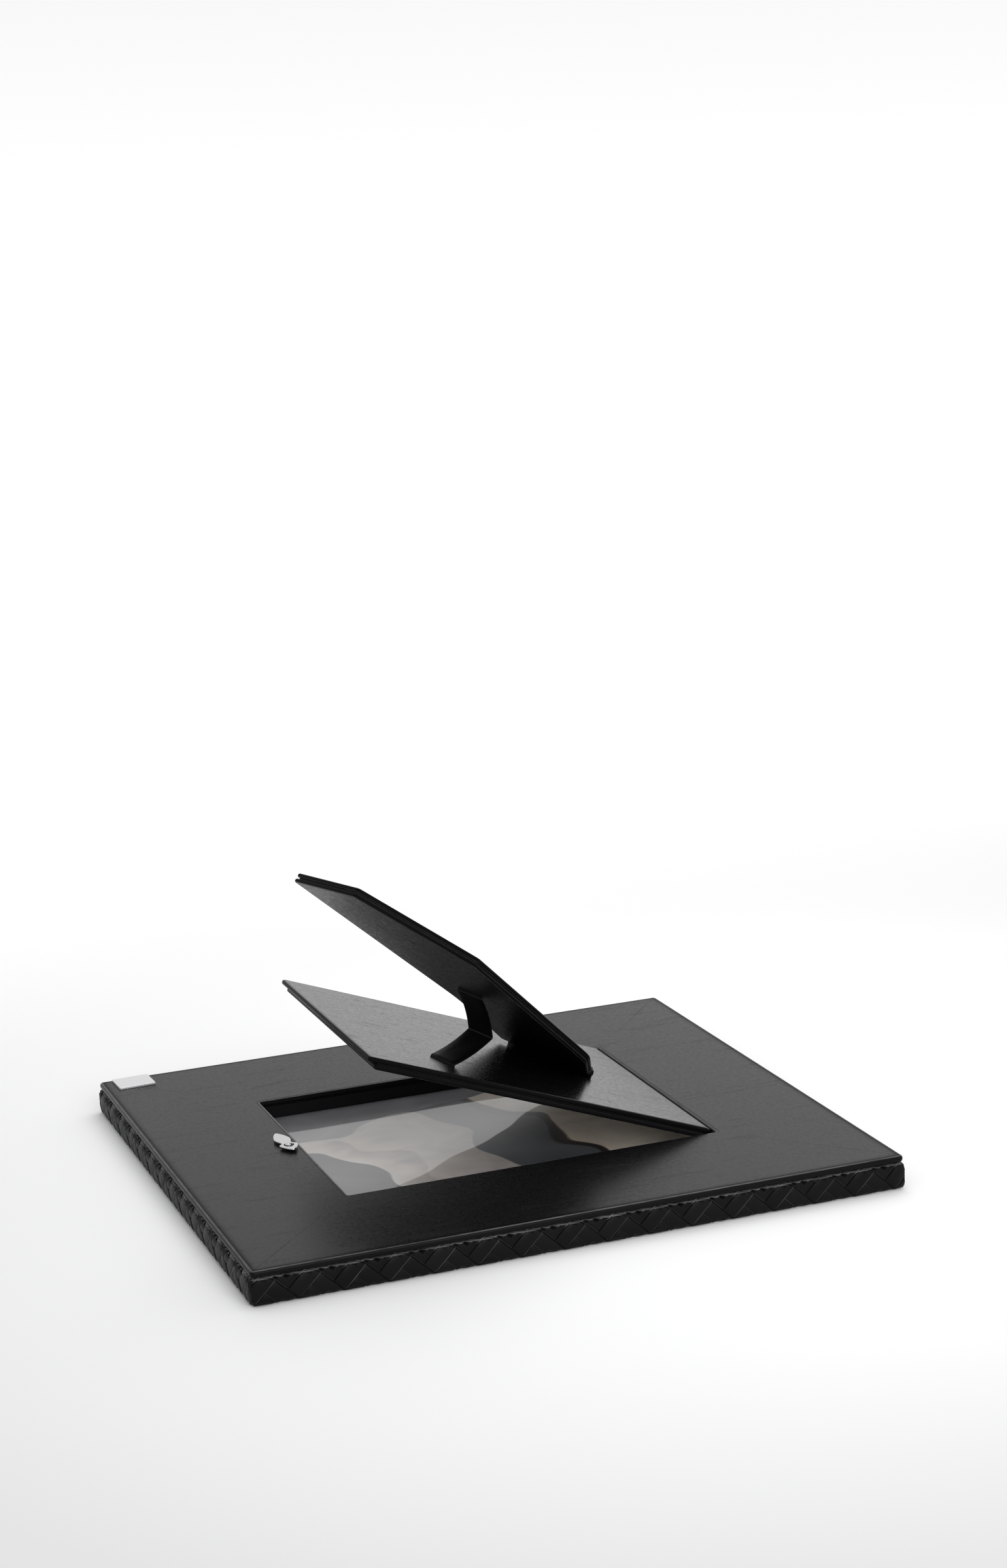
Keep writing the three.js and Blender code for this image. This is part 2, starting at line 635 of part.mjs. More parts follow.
// Leather roll along the hinge, its tongue glued between the leg's boards
const rollBody = new THREE.CylinderGeometry(
  rollRadius, rollRadius, LEG_HINGE_NEAR + LEG_HINGE_FAR, ROUND_SIDES)
  .translate(0, (LEG_HINGE_NEAR - LEG_HINGE_FAR) / 2, 0);
const tongue = block(
  [0, -tabFar, -LEG_CORE / 2], [LEG_TONGUE_REACH, tabNear, LEG_CORE / 2]);
addPiece(leg, "leg_hinge_roll", join(rollBody, tongue), finishes.leather);

// Strap: one leather band from the panel's slit to the leg's, folded towards the hinge.
// Its line has distance from the leg's hinge along the panel, and height over the panel.

const legAxisHeight = rollRadius + SEAT_GAP;
const underLeg = (along, drop) => new THREE.Vector2(
  along * Math.cos(LEG_OPEN) + (rollRadius + drop) * Math.sin(LEG_OPEN),
  legAxisHeight + along * Math.sin(LEG_OPEN) - (rollRadius + drop) * Math.cos(LEG_OPEN));

// Band outline on both sides of a line
function bandOutline(line, thickness) {
  const offsets = line.map((point, i) => {
    const before = line[Math.max(i - 1, 0)];
    const after = line[Math.min(i + 1, line.length - 1)];
    const heading = after.clone().sub(before).normalize();
    return new THREE.Vector2(-heading.y, heading.x).multiplyScalar(thickness / 2);
  });
  const left = line.map((point, i) => point.clone().add(offsets[i]));
  const right = line.map((point, i) => point.clone().sub(offsets[i]));
  return [...left, ...right.reverse()];
}

const strapRoot = new THREE.Vector2(STRAP_PANEL_PLACE, 0);
const strapCrease = new THREE.Vector2(STRAP_CREASE_PLACE, STRAP_CREASE_HEIGHT);
const strapHead = underLeg(STRAP_LEG_PLACE, 0);
const towards = (from, to, distance) => from.clone().add(to.clone().sub(from).setLength(distance));
const bowed = (from, to, bow) => {
  const span = to.clone().sub(from);
  const push = new THREE.Vector2(-span.y, span.x).setLength(bow);
  const middle = from.clone().add(to).multiplyScalar(1 / 2).add(push);
  return new THREE.QuadraticBezierCurve(from, middle, to).getPoints(2 * ARC_STEPS);
};
const creaseIn = towards(strapCrease, strapRoot, STRAP_CREASE_RADIUS);
const creaseOut = towards(strapCrease, strapHead, STRAP_CREASE_RADIUS);
const rootRise = strapRoot.clone().add(new THREE.Vector2(0, STRAP_THICKNESS));
const strapLine = [
  new THREE.Vector2(STRAP_PANEL_PLACE, SEAT_GAP - SLIT_DEPTH),
  strapRoot,
  ...bowed(rootRise, creaseIn, STRAP_BOW),
  ...new THREE.QuadraticBezierCurve(creaseIn, strapCrease, creaseOut).getPoints(2 * ARC_STEPS).slice(1, -1),
  ...bowed(creaseOut, underLeg(STRAP_LEG_PLACE, STRAP_THICKNESS), STRAP_BOW),
  strapHead,
  underLeg(STRAP_LEG_PLACE, SEAT_GAP - LEG_SLIT_DEPTH),
];
const strap = new THREE.ExtrudeGeometry(new THREE.Shape(bandOutline(strapLine, STRAP_THICKNESS)), {
  depth: STRAP_WIDTH,
  bevelEnabled: false,
}).translate(0, 0, -STRAP_WIDTH / 2).rotateX(Math.PI / 2);
addPiece(closedPanel, "leg_strap", onPanel(strap), finishes.leather);

export default part;
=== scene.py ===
"""A black leather photo frame lying face down, its back panel ajar and its easel leg open.

The pieces are modelled in millimetres in the frame's own axes and turned into metres when
each one is finished. +X runs along the frame's long side, +Y away from the viewer, +Z up.
"""

from __future__ import annotations

import logging
import math
import random
from bisect import bisect_right
from dataclasses import dataclass
from enum import Enum
from itertools import product
from typing import Iterable, Iterator, Sequence

import bmesh
import bpy
from bmesh.types import BMEdge, BMesh, BMVert
from mathutils import Matrix, Vector


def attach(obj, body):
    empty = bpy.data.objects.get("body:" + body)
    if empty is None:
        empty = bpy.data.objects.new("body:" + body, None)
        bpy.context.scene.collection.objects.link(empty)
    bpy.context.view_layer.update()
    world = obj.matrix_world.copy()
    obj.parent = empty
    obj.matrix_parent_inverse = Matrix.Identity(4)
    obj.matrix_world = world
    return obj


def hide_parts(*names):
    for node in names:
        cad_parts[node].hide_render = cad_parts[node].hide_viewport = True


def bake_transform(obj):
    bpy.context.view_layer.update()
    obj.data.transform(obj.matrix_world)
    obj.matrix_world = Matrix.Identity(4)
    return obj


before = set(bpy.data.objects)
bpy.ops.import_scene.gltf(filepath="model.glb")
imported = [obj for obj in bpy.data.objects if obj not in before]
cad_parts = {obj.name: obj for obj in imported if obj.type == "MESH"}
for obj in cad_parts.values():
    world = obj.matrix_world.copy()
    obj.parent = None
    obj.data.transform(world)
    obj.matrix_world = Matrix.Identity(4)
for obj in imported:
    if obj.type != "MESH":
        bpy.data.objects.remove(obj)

LOG = logging.getLogger("photo_frame")
MILLIMETRE = 0.001
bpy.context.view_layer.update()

Outline = list[Vector]
Profile = list[tuple[Vector, Vector]]
Pair = tuple[float, float]
Triple = tuple[float, float, float]
Colour = tuple[float, float, float, float]
Socket = bpy.types.NodeSocket


class Body(str, Enum):
    """The rigid bodies that pieces ride on."""

    FRAME = "frame"
    LATCH = "latch"
    PANEL = "panel"
    LEG = "leg"


class Slot(str, Enum):
    """The record's material slots that the scene uses."""

    PLAIT = "plaited_leather"
    LEATHER = "smooth_leather"
    LINING = "lining_leather"
    WOOD = "core_wood"
    METAL = "plated_metal"
    PANE = "pane"
    PRINT = "print"


# Shader nodes


class Graph:
    """A shader node tree, with short ways to add nodes and feed them."""

    def __init__(self, tree: bpy.types.NodeTree, space: str | None = None) -> None:
        """Take a tree to add nodes to.

        Args:
            tree: The tree.
            space: Which of the texture coordinates its patterns lie in, if any.
        """
        self.tree = tree
        self.where = self.value("TexCoord", out=space) if space else None

    def feed(self, inputs: bpy.types.NodeInputs, values: dict[int | str, object]) -> None:
        """Set a node's inputs.

        Args:
            inputs: The node's inputs.
            values: Socket to join or plain value for each input, under its number or name.
        """
        for key, value in values.items():
            if isinstance(value, Socket):
                self.tree.links.new(value, inputs[key])
            else:
                inputs[key].default_value = value

    def node(self, kind: str, *feeds: object, **settings: object) -> bpy.types.Node:
        """Add a node and set it up.

        Args:
            kind: Node type without its ShaderNode prefix.
            *feeds: Sockets or values for its first inputs.
            **settings: Attributes of the node, and sockets or values for inputs under their
                names, with underscores for blanks.

        Returns:
            The new node.
        """
        node = self.tree.nodes.new(f"ShaderNode{kind}")
        values: dict[int | str, object] = dict(enumerate(feeds))
        for key, value in settings.items():
            if hasattr(node, key):
                setattr(node, key, value)
            else:
                values[key.replace("_", " ")] = value
        self.feed(node.inputs, values)
        return node

    def value(self, kind: str, *feeds: object, out: int | str = 0, **settings: object) -> Socket:
        """Add a node as node() does, and give the output named by out."""
        return self.node(kind, *feeds, **settings).outputs[out]

    def calc(self, operation: str, *feeds: object, **settings: object) -> Socket:
        """Work out a number."""
        return self.value("Math", *feeds, operation=operation, **settings)

    def vector(self, operation: str, *feeds: object, **settings: object) -> Socket:
        """Work out a vector, or its length."""
        return self.value("VectorMath", *feeds, operation=operation, **settings)

    def axes(self, vector: Socket) -> bpy.types.NodeOutputs:
        """Split a vector into X, Y and Z."""
        return self.node("SeparateXYZ", vector).outputs

    def noise(self, scale: float, detail: float, where: Socket | None = None, **settings: object) -> Socket:
        """Make soft noise."""
        return self.value("TexNoise", where or self.where, Scale=scale, Detail=detail, **settings)

    def mix(self, share: Socket, first: object, second: object) -> Socket:
        """Go from the first number to the second by a share."""
        node = self.node("Mix", share, data_type="FLOAT")
        self.feed(node.inputs, {2: first, 3: second})
        return node.outputs[0]

    def attribute(self, name: str) -> Socket:
        """Read a number from the piece's vertices."""
        return self.value("Attribute", attribute_name=name, out="Fac")

    def bump(self, height: Socket, strength: float, distance: float) -> Socket:
        """Turn a height into a normal."""
        return self.value("Bump", Height=height, Strength=strength, Distance=distance)

    def remap(self, value: Socket, old: Pair, new: Pair = (0.0, 1.0), smooth: bool = False) -> Socket:
        """Stretch a value from one span to another, held at its ends.

        Args:
            value: The value.
            old: Span it comes from.
            new: Span it goes to.
            smooth: Whether it eases in and out.

        Returns:
            The stretched value.
        """
        kind = "SMOOTHSTEP" if smooth else "LINEAR"
        return self.value("MapRange", value, *old, *new, interpolation_type=kind)

    def ramp(self, value: Socket, stops: Sequence[tuple[float, Colour]]) -> Socket:
        """Turn a value into colours.

        Args:
            value: The value, from none to one.
            stops: Place and colour of each stop, in order.

        Returns:
            The colour.
        """
        node = self.node("ValToRGB", value)
        elements = node.color_ramp.elements
        for element, (place, colour) in zip(elements, (stops[0], stops[-1])):
            element.position, element.color = place, colour
        for place, colour in stops[1:-1]:
            elements.new(place).color = colour
        return node.outputs["Color"]


class NodeGroup(Graph):
    """A shader node group with named inputs and outputs."""

    def __init__(self, name: str, inputs: dict[str, str], outputs: dict[str, str]) -> None:
        """Start a group.

        Args:
            name: Name of the group.
            inputs: Kind of each input, under its name. One is Vector, the coordinates.
            outputs: Kind of each output, under its name.
        """
        super().__init__(bpy.data.node_groups.new(name, "ShaderNodeTree"))
        for way, sockets in (("INPUT", inputs), ("OUTPUT", outputs)):
            for title, kind in sockets.items():
                self.tree.interface.new_socket(name=title, in_out=way, socket_type=f"NodeSocket{kind}")
        self.inputs = self.tree.nodes.new("NodeGroupInput").outputs
        self.where = self.inputs["Vector"]

    def give(self, **outputs: Socket) -> bpy.types.NodeTree:
        """Join sockets to the group's outputs, and give its tree."""
        self.feed(self.tree.nodes.new("NodeGroupOutput").inputs, outputs)
        return self.tree


def leather_group() -> bpy.types.NodeTree:
    """Make the group that gives smooth calf its pores, creases and uneven dye.

    Returns:
        A group with Colour, Roughness and Height outputs.
    """
    group = NodeGroup(
        "Calf grain", {"Vector": "Vector", "Dye": "Color", "Gloss": "Float", "Creases": "Float"},
        {"Colour": "Color", "Roughness": "Float", "Height": "Float"})
    pebble_height, crease_height, swell_height, crease_dullness = 0.7, -0.8, 3.0, 0.06
    pores = group.value("TexVoronoi", group.where, feature="SMOOTH_F1", Scale=1250.0, Smoothness=0.7)
    pebbles = group.noise(420.0, 3.0, Roughness=0.6)
    stretch = group.value("Mapping", group.where, Scale=(16.0, 120.0, 120.0), Rotation=(0.0, 0.0, 0.06))
    lines = group.noise(1.0, 4.0, stretch, Roughness=0.55, Distortion=0.6)
    waves = group.noise(22.0, 2.0)

    middle = group.calc("MULTIPLY_ADD", pebbles, pebble_height, pores)
    folded = group.calc("MULTIPLY", group.remap(lines, (0.56, 0.7), smooth=True), group.inputs["Creases"])
    lowered = group.calc("MULTIPLY_ADD", folded, crease_height, middle)
    tone = group.remap(waves, (0.0, 1.0), (0.72, 1.3))
    wear_and_highlight = group.remap(pebbles, (0.3, 0.7), (-0.05, 0.07))
    sheen = group.calc("ADD", group.inputs["Gloss"], wear_and_highlight, use_clamp=True)
    return group.give(
        Colour=group.vector("SCALE", group.inputs["Dye"], Scale=tone),
        Roughness=group.calc("MULTIPLY_ADD", folded, crease_dullness, sheen, use_clamp=True),
        Height=group.calc("MULTIPLY_ADD", waves, swell_height, lowered))


def scratch_group() -> bpy.types.NodeTree:
    """Make the group that gives plated metal its hairlines and smudges.

    Returns:
        A group with Roughness and Height outputs.
    """
    group = NodeGroup(
        "Hairlines", {"Vector": "Vector", "Gloss": "Float"}, {"Roughness": "Float", "Height": "Float"})
    stretch = group.value("Mapping", group.where, Scale=(60.0, 2600.0, 900.0), Rotation=(0.0, 0.0, 0.35))
    smudges = group.remap(group.noise(160.0, 2.0), (0.35, 0.7), (-0.04, 0.12))
    return group.give(
        Roughness=group.calc("ADD", group.inputs["Gloss"], smudges, use_clamp=True),
        Height=group.noise(1.0, 3.0, stretch))


# Finishes


@dataclass(frozen=True)
class Finish:
    """A surface finish; each kind works out its own surface."""

    name: str
    slot: Slot

    def build(self) -> bpy.types.Material:
        """Make the material.

        Returns:
            The material, its shader fed by what surface() gives.
        """
        material = bpy.data.materials.new(self.name)
        material.use_nodes = True
        graph = Graph(material.node_tree, "Object")
        graph.feed(graph.tree.nodes["Principled BSDF"].inputs, self.surface(graph))
        return material

    def surface(self, graph: Graph) -> dict[str, object]:
        """Work out what feeds the shader.

        Args:
            graph: The material's nodes.

        Returns:
            Socket or value for each input of the shader that isn't left alone.
        """
        raise NotImplementedError


@dataclass(frozen=True)
class Calf(Finish):
    """Smooth dyed calf: satin, with fine pores and faint creases."""

    dye: Colour = (0.005, 0.005, 0.0055, 1.0)
    gloss: float = 0.28
    creases: float = 2.0
    relief: float = 0.025
    specular: float = 0.16
    facing_share: float = 0.7
    # Strength of the painted highlights: the dye is lightened where light would glint on edges, creases and rims.
    painted_highlight: float = 0.06
    # Height and half width of a painted highlight band, standing in for the shine along the plait's top rim; none if
    # the height is zero.
    highlight_band_height: float = 0.0
    highlight_band_half: float = 0.0005
    border: Pair | None = None
    border_reach: float = 0.01
    # Painted shade in a band along the border, standing in for the dark crease beside the rolled edge.
    border_shade: tuple[Pair, ...] = ((0.17, 0.0), (0.22, 1.0), (0.32, 0.8), (0.5, 0.25), (0.75, 0.0))
    tone_attribute: str | None = None

    def surface(self, graph: Graph) -> dict[str, object]:
        """Work out the leather.

        Args:
            graph: The material's nodes.

        Returns:
            What feeds the shader. Seen face on, the leather shines less; where it carries painted shade, on its
            sides, in creases and in a band along the border, its shine is turned down so that it reads dark.
        """
        grain = graph.node(
            "Group", graph.where, node_tree=bpy.data.node_groups.get("Calf grain") or leather_group(), Dye=self.dye,
            Gloss=self.gloss, Creases=self.creases).outputs
        colour = grain["Colour"]
        if self.tone_attribute:
            colour = graph.vector("SCALE", colour, Scale=graph.attribute(self.tone_attribute))
        # Painted shade: the shine is turned down on the sides, in creases and in the border band.
        kept = graph.remap(self.shade_share(graph), (0.0, 1.0), (1.0, 0.1))
        slant = graph.value("LayerWeight", 0.5, out="Facing")
        polish = graph.remap(slant, (0.1, 0.75), (self.facing_share * self.specular, self.specular))
        return {
            "Base Color": self.with_painted_highlights(graph, colour),
            "Roughness": grain["Roughness"],
            "Normal": graph.bump(grain["Height"], self.relief, 0.001),
            "Specular IOR Level": graph.calc("MULTIPLY", kept, polish)}

    def shade_share(self, graph: Graph) -> Socket:
        """Tell how much painted shade the leather gets: on its sides, in its creases and in a band along the border's
        rim, where its shine is turned down.

        Args:
            graph: The material's nodes.

        Returns:
            How much painted shade, from none to one.
        """
        crease = graph.attribute("dip")
        if not self.border:
            return crease
        inside = graph.axes(graph.vector("SUBTRACT", (*self.border, 0.0), graph.vector("ABSOLUTE", graph.where)))
        nearest = graph.remap(graph.calc("MINIMUM", inside["X"], inside["Y"]), (0.0, self.border_reach))
        stops = [(place, (level, level, level, 1.0)) for place, level in self.border_shade]
        return graph.calc("MAXIMUM", graph.ramp(nearest, stops), crease)

    def with_painted_highlights(self, graph: Graph, colour: Socket) -> Socket:
        """Paint highlights: lighten the dye where the piece's vertices carry a painted highlight, and in a painted
        highlight band at a set height.

        Args:
            graph: The material's nodes.
            colour: Colour to lighten.

        Returns:
            The lightened colour.
        """
        wear_and_highlight = graph.attribute("painted_highlight")
        # Painted highlight band at a set height: the shine along the plait's top rim.
        if self.highlight_band_height:
            away = graph.calc("ABSOLUTE", graph.calc("SUBTRACT", graph.axes(graph.where)["Z"], self.highlight_band_height))
            wear_and_highlight = graph.calc("ADD", graph.remap(away, (self.highlight_band_half, 0.0), smooth=True), wear_and_highlight)
        uneven = graph.remap(graph.noise(90.0, 2.0), (0.3, 0.7), (0.5, 1.3))
        amount = graph.calc("MULTIPLY", wear_and_highlight, uneven)
        return graph.vector("MULTIPLY_ADD", amount, (self.painted_highlight,) * 3, colour)


@dataclass(frozen=True)
class Plated(Finish):
    """Polished plated metal with hairlines and smudges."""

    colour: Colour = (0.6, 0.6, 0.61, 1.0)
    gloss: float = 0.12
    relief: float = 0.004
    metallic: float = 1.0

    def surface(self, graph: Graph) -> dict[str, object]:
        """Work out the metal.

        Args:
            graph: The material's nodes.

        Returns:
            What feeds the shader.
        """
        marks = graph.node(
            "Group", graph.where, node_tree=bpy.data.node_groups.get("Hairlines") or scratch_group(),
            Gloss=self.gloss).outputs
        return {
            "Base Color": self.colour,
            "Metallic": self.metallic,
            "Roughness": marks["Roughness"],
            "Normal": graph.bump(marks["Height"], self.relief, 0.0002)}


@dataclass(frozen=True)
class GlossyPrint(Finish):
    """A glossy print of plain draped folds in grey, sand and slate.

    Each fold runs from where the one before ends, and shades from its first tone to its second.
    """

    span: Pair = (-0.125, 0.13)
    edge: float = 0.004
    drift: Triple = (0.11, 0.09, 0.0)
    ground: Colour = (0.16, 0.16, 0.17, 1.0)
    ground_from: Pair = (0.046, 0.048)
    folds: tuple[tuple[float, Triple, Triple], ...] = (
        (0.13, (0.1, 0.1, 0.105), (0.08, 0.08, 0.085)),
        (0.26, (0.6, 0.55, 0.51), (0.4, 0.36, 0.34)),
        (0.5, (0.52, 0.47, 0.44), (0.34, 0.31, 0.29)),
        (0.69, (0.045, 0.049, 0.056), (0.1, 0.104, 0.113)),
        (0.73, (0.02, 0.018, 0.018), (0.05, 0.04, 0.035)),
        (1.0, (0.72, 0.62, 0.52), (0.95, 0.87, 0.76)))

    def stops(self) -> list[tuple[float, Colour]]:
        """Give the folds as the stops of a colour ramp, with a short edge between two folds."""
        places = [0.0]
        for end, _, _ in self.folds[:-1]:
            places += [end - self.edge, end + self.edge]
        tones = [tone for _, *pair in self.folds for tone in pair]
        return [(place, (*tone, 1.0)) for place, tone in zip([*places, 1.0], tones)]

    def surface(self, graph: Graph) -> dict[str, object]:
        """Work out the print.

        Args:
            graph: The material's nodes.

        Returns:
            What feeds the shader.
        """
        drift = graph.noise(15.0, 1.0, out="Color", Roughness=0.4)
        shifted = graph.vector("MULTIPLY_ADD", drift, self.drift, graph.where)
        half_drift = tuple(-share / 2 for share in self.drift)
        lean = graph.axes(graph.value("Mapping", shifted, Location=half_drift, Rotation=(0.0, 0.0, -0.3)))
        folds = graph.ramp(graph.remap(lean["X"], self.span), self.stops())
        picture = graph.node("Mix", graph.remap(lean["Y"], self.ground_from, smooth=True), data_type="RGBA")
        graph.feed(picture.inputs, {6: folds, 7: self.ground})
        shade = graph.remap(graph.noise(30.0, 2.0, Distortion=1.0), (0.3, 0.7), (0.82, 1.12))
        return {
            "Base Color": graph.vector("SCALE", picture.outputs[2], Scale=shade),
            "Roughness": 0.3,
            "Coat Weight": 0.8,
            "Coat Roughness": 0.03,
            "Coat Normal": graph.bump(graph.noise(14.0, 0.0), 1.0, 0.0012)}


@dataclass(frozen=True)
class Pane(Finish):
    """Clear float glass with a trace of dust."""

    def surface(self, graph: Graph) -> dict[str, object]:
        """Work out the glass.

        Args:
            graph: The material's nodes.

        Returns:
            What feeds the shader.
        """
        return {
            "Base Color": (0.96, 0.98, 0.975, 1.0),
            "Roughness": graph.remap(graph.noise(35.0, 4.0), (0.5, 0.8), (0.01, 0.05)),
            "Transmission Weight": 1.0,
            "IOR": 1.52}


@dataclass(frozen=True)
class PlanedWood(Finish):
    """Stained wood, with flecks along its grain."""

    light: Colour = (0.02, 0.016, 0.013, 1.0)
    dark: Colour = (0.009, 0.007, 0.006, 1.0)
    stretch: Triple = (40.0, 300.0, 300.0)

    def surface(self, graph: Graph) -> dict[str, object]:
        """Work out the wood.

        Args:
            graph: The material's nodes.

        Returns:
            What feeds the shader.
        """
        flecks = graph.noise(1.0, 5.0, graph.value("Mapping", graph.where, Scale=self.stretch))
        return {
            "Base Color": graph.ramp(flecks, ((0.35, self.dark), (0.65, self.light))),
            "Roughness": 0.85,
            "Normal": graph.bump(flecks, 0.2, 0.0005)}


class Finishes:
    """The finishes of this frame, each built when it is first used."""

    BACK = Calf("Back calf", Slot.LEATHER, creases=1.0, relief=0.018, painted_highlight=0.11, border=(0.2141, 0.1961))
    PANEL = Calf("Panel calf", Slot.LEATHER, gloss=0.24, creases=1.0, relief=0.008, specular=0.24, painted_highlight=0.02)
    LEG = Calf(
        "Leg calf", Slot.LEATHER, gloss=0.3, creases=0.8, specular=0.14, dye=(0.004, 0.004, 0.0045, 1.0),
        painted_highlight=0.07)
    TRIM = Calf(
        "Hinge calf", Slot.LEATHER, gloss=0.4, dye=(0.0015, 0.0015, 0.002, 1.0), specular=0.2, painted_highlight=0.05)
    STRIPS = Calf(
        "Plaited strips", Slot.PLAIT, gloss=0.42, creases=0.4, relief=0.03, specular=0.075, facing_share=0.9,
        painted_highlight=0.12, dye=(0.005, 0.005, 0.0055, 1.0), highlight_band_height=0.0168, tone_attribute="strip_tone")
    UNDERLAY = Calf("Plait underlay", Slot.PLAIT, gloss=0.6, dye=(0.003, 0.003, 0.003, 1.0), specular=0.1)
    LINING = Calf("Lining", Slot.LINING, gloss=0.62, dye=(0.005, 0.005, 0.006, 1.0), specular=0.2)
    METAL = Plated("Bright plate", Slot.METAL)
    SATIN_METAL = Plated(
        "Satin plate", Slot.METAL, colour=(0.68, 0.68, 0.69, 1.0), gloss=0.3, relief=0.001, metallic=0.5)
    PRINT = GlossyPrint("Folds print", Slot.PRINT)
    PANE = Pane("Float glass", Slot.PANE)
    WOOD = PlanedWood("Stained wood", Slot.WOOD)

    _made: dict[str, bpy.types.Material] = {}

    @classmethod
    def material(cls, finish: Finish) -> bpy.types.Material:
        """Give the material of a finish, building it once."""
        if finish.name not in cls._made:
            cls._made[finish.name] = finish.build()
        return cls._made[finish.name]


# Mesh work in millimetres


def flat(points: Iterable[Pair]) -> Outline:
    """Turn pairs of numbers into an outline."""
    return [Vector((x, y, 0.0)) for x, y in points]


def upright(points: Iterable[Pair]) -> Outline:
    """Turn pairs of X and Z into a line in the XZ plane."""
    return [Vector((x, 0.0, z)) for x, z in points]


def rectangle(left: float, right: float, near: float, far: float) -> Outline:
    """Give a rectangle's corners, counter-clockwise."""
    return flat([(left, near), (right, near), (right, far), (left, far)])


def bend(start: Vector, pull: Vector, end: Vector, steps: int) -> Outline:
    """Give points of a curve from start to end, drawn towards pull."""
    stations = [i / steps for i in range(steps + 1)]
    return [start * (1 - t) ** 2 + pull * 2 * t * (1 - t) + end * t**2 for t in stations]


def arc(centre: Pair, radius: float, start: float, end: float, steps: int) -> Outline:
    """Give points of an arc in the XZ plane.

    Args:
        centre: Its centre, X and Z.
        radius: Its radius.
        start: First angle in degrees, from +X towards +Z.
        end: Last angle in degrees.
        steps: Number of stretches.

    Returns:
        The points.
    """
    angles = [math.radians(start + (end - start) * i / steps) for i in range(steps + 1)]
    return upright((centre[0] + radius * math.cos(angle), centre[1] + radius * math.sin(angle)) for angle in angles)


def round_corners(corners: Outline, reach: float | Sequence[float], steps: int = 6) -> Outline:
    """Round each corner of an outline.

    Args:
        corners: Sharp outline, counter-clockwise.
        reach: Distance from each corner at which its curve starts, one for all or one each.
        steps: Number of stretches in each curve.

    Returns:
        The rounded outline.
    """
    reaches = [reach] * len(corners) if isinstance(reach, float) else list(reach)
    rounded: Outline = []
    for i, corner in enumerate(corners):
        start = corner + (corners[i - 1] - corner).normalized() * reaches[i]
        end = corner + (corners[(i + 1) % len(corners)] - corner).normalized() * reaches[i]
        rounded += bend(start, corner, end, steps)
    return rounded


def cut_away(bm: BMesh, point: Triple, outward: Triple) -> None:
    """Cut a mesh by the plane through a point, and take away what lies outward of it."""
    bmesh.ops.bisect_plane(
        bm, geom=bm.verts[:] + bm.edges[:] + bm.faces[:], plane_co=point, plane_no=outward, clear_outer=True)


def chain(bm: BMesh, points: Iterable[Sequence[float]], closed: bool = False) -> tuple[list[BMVert], list[BMEdge]]:
    """Draw a line of edges through points, or a ring, and give its vertices and edges."""
    verts = [bm.verts.new(point) for point in points]
    return verts, [bm.edges.new(ends) for ends in zip(verts, verts[1:] + (verts[:1] if closed else []))]


def ring(bm: BMesh, outline: Outline, height: float) -> tuple[list[BMVert], list[BMEdge]]:
    """Draw a closed outline at a height, and give its vertices and edges."""
    return chain(bm, [(point.x, point.y, height) for point in outline], closed=True)


def drag_edges(bm: BMesh, edges: list[BMEdge], shift: Triple) -> list[BMEdge]:
    """Draw edges out into faces.

    Args:
        bm: Mesh they are in.
        edges: The edges.
        shift: How far they are drawn.

    Returns:
        The edges at the far end.
    """
    grown = bmesh.ops.extrude_edge_only(bm, edges=edges)["geom"]
    bmesh.ops.translate(bm, vec=shift, verts=[item for item in grown if isinstance(item, BMVert)])
    return [item for item in grown if isinstance(item, BMEdge)]


def raise_slab(bm: BMesh, height: float) -> None:
    """Make flat faces a closed slab of a height."""
    grown = bmesh.ops.extrude_face_region(bm, geom=bm.faces[:], use_keep_orig=True)["geom"]
    bmesh.ops.translate(bm, vec=(0.0, 0.0, height), verts=[item for item in grown if isinstance(item, BMVert)])
    bmesh.ops.recalc_face_normals(bm, faces=bm.faces)


def roll_edges(bm: BMesh, edges: list[BMEdge], radius: float, segments: int) -> None:
    """Round edges by a radius, in a number of stretches."""
    bmesh.ops.bevel(
        bm, geom=edges, offset=radius, offset_type="OFFSET", segments=segments, profile=0.5,
        affect="EDGES", material=-1, clamp_overlap=True)


def sharp_edges(bm: BMesh, angle: float) -> list[BMEdge]:
    """List the edges between two faces that turn by more than an angle in radians."""
    return [edge for edge in bm.edges if len(edge.link_faces) == 2 and edge.calc_face_angle(0.0) > angle]


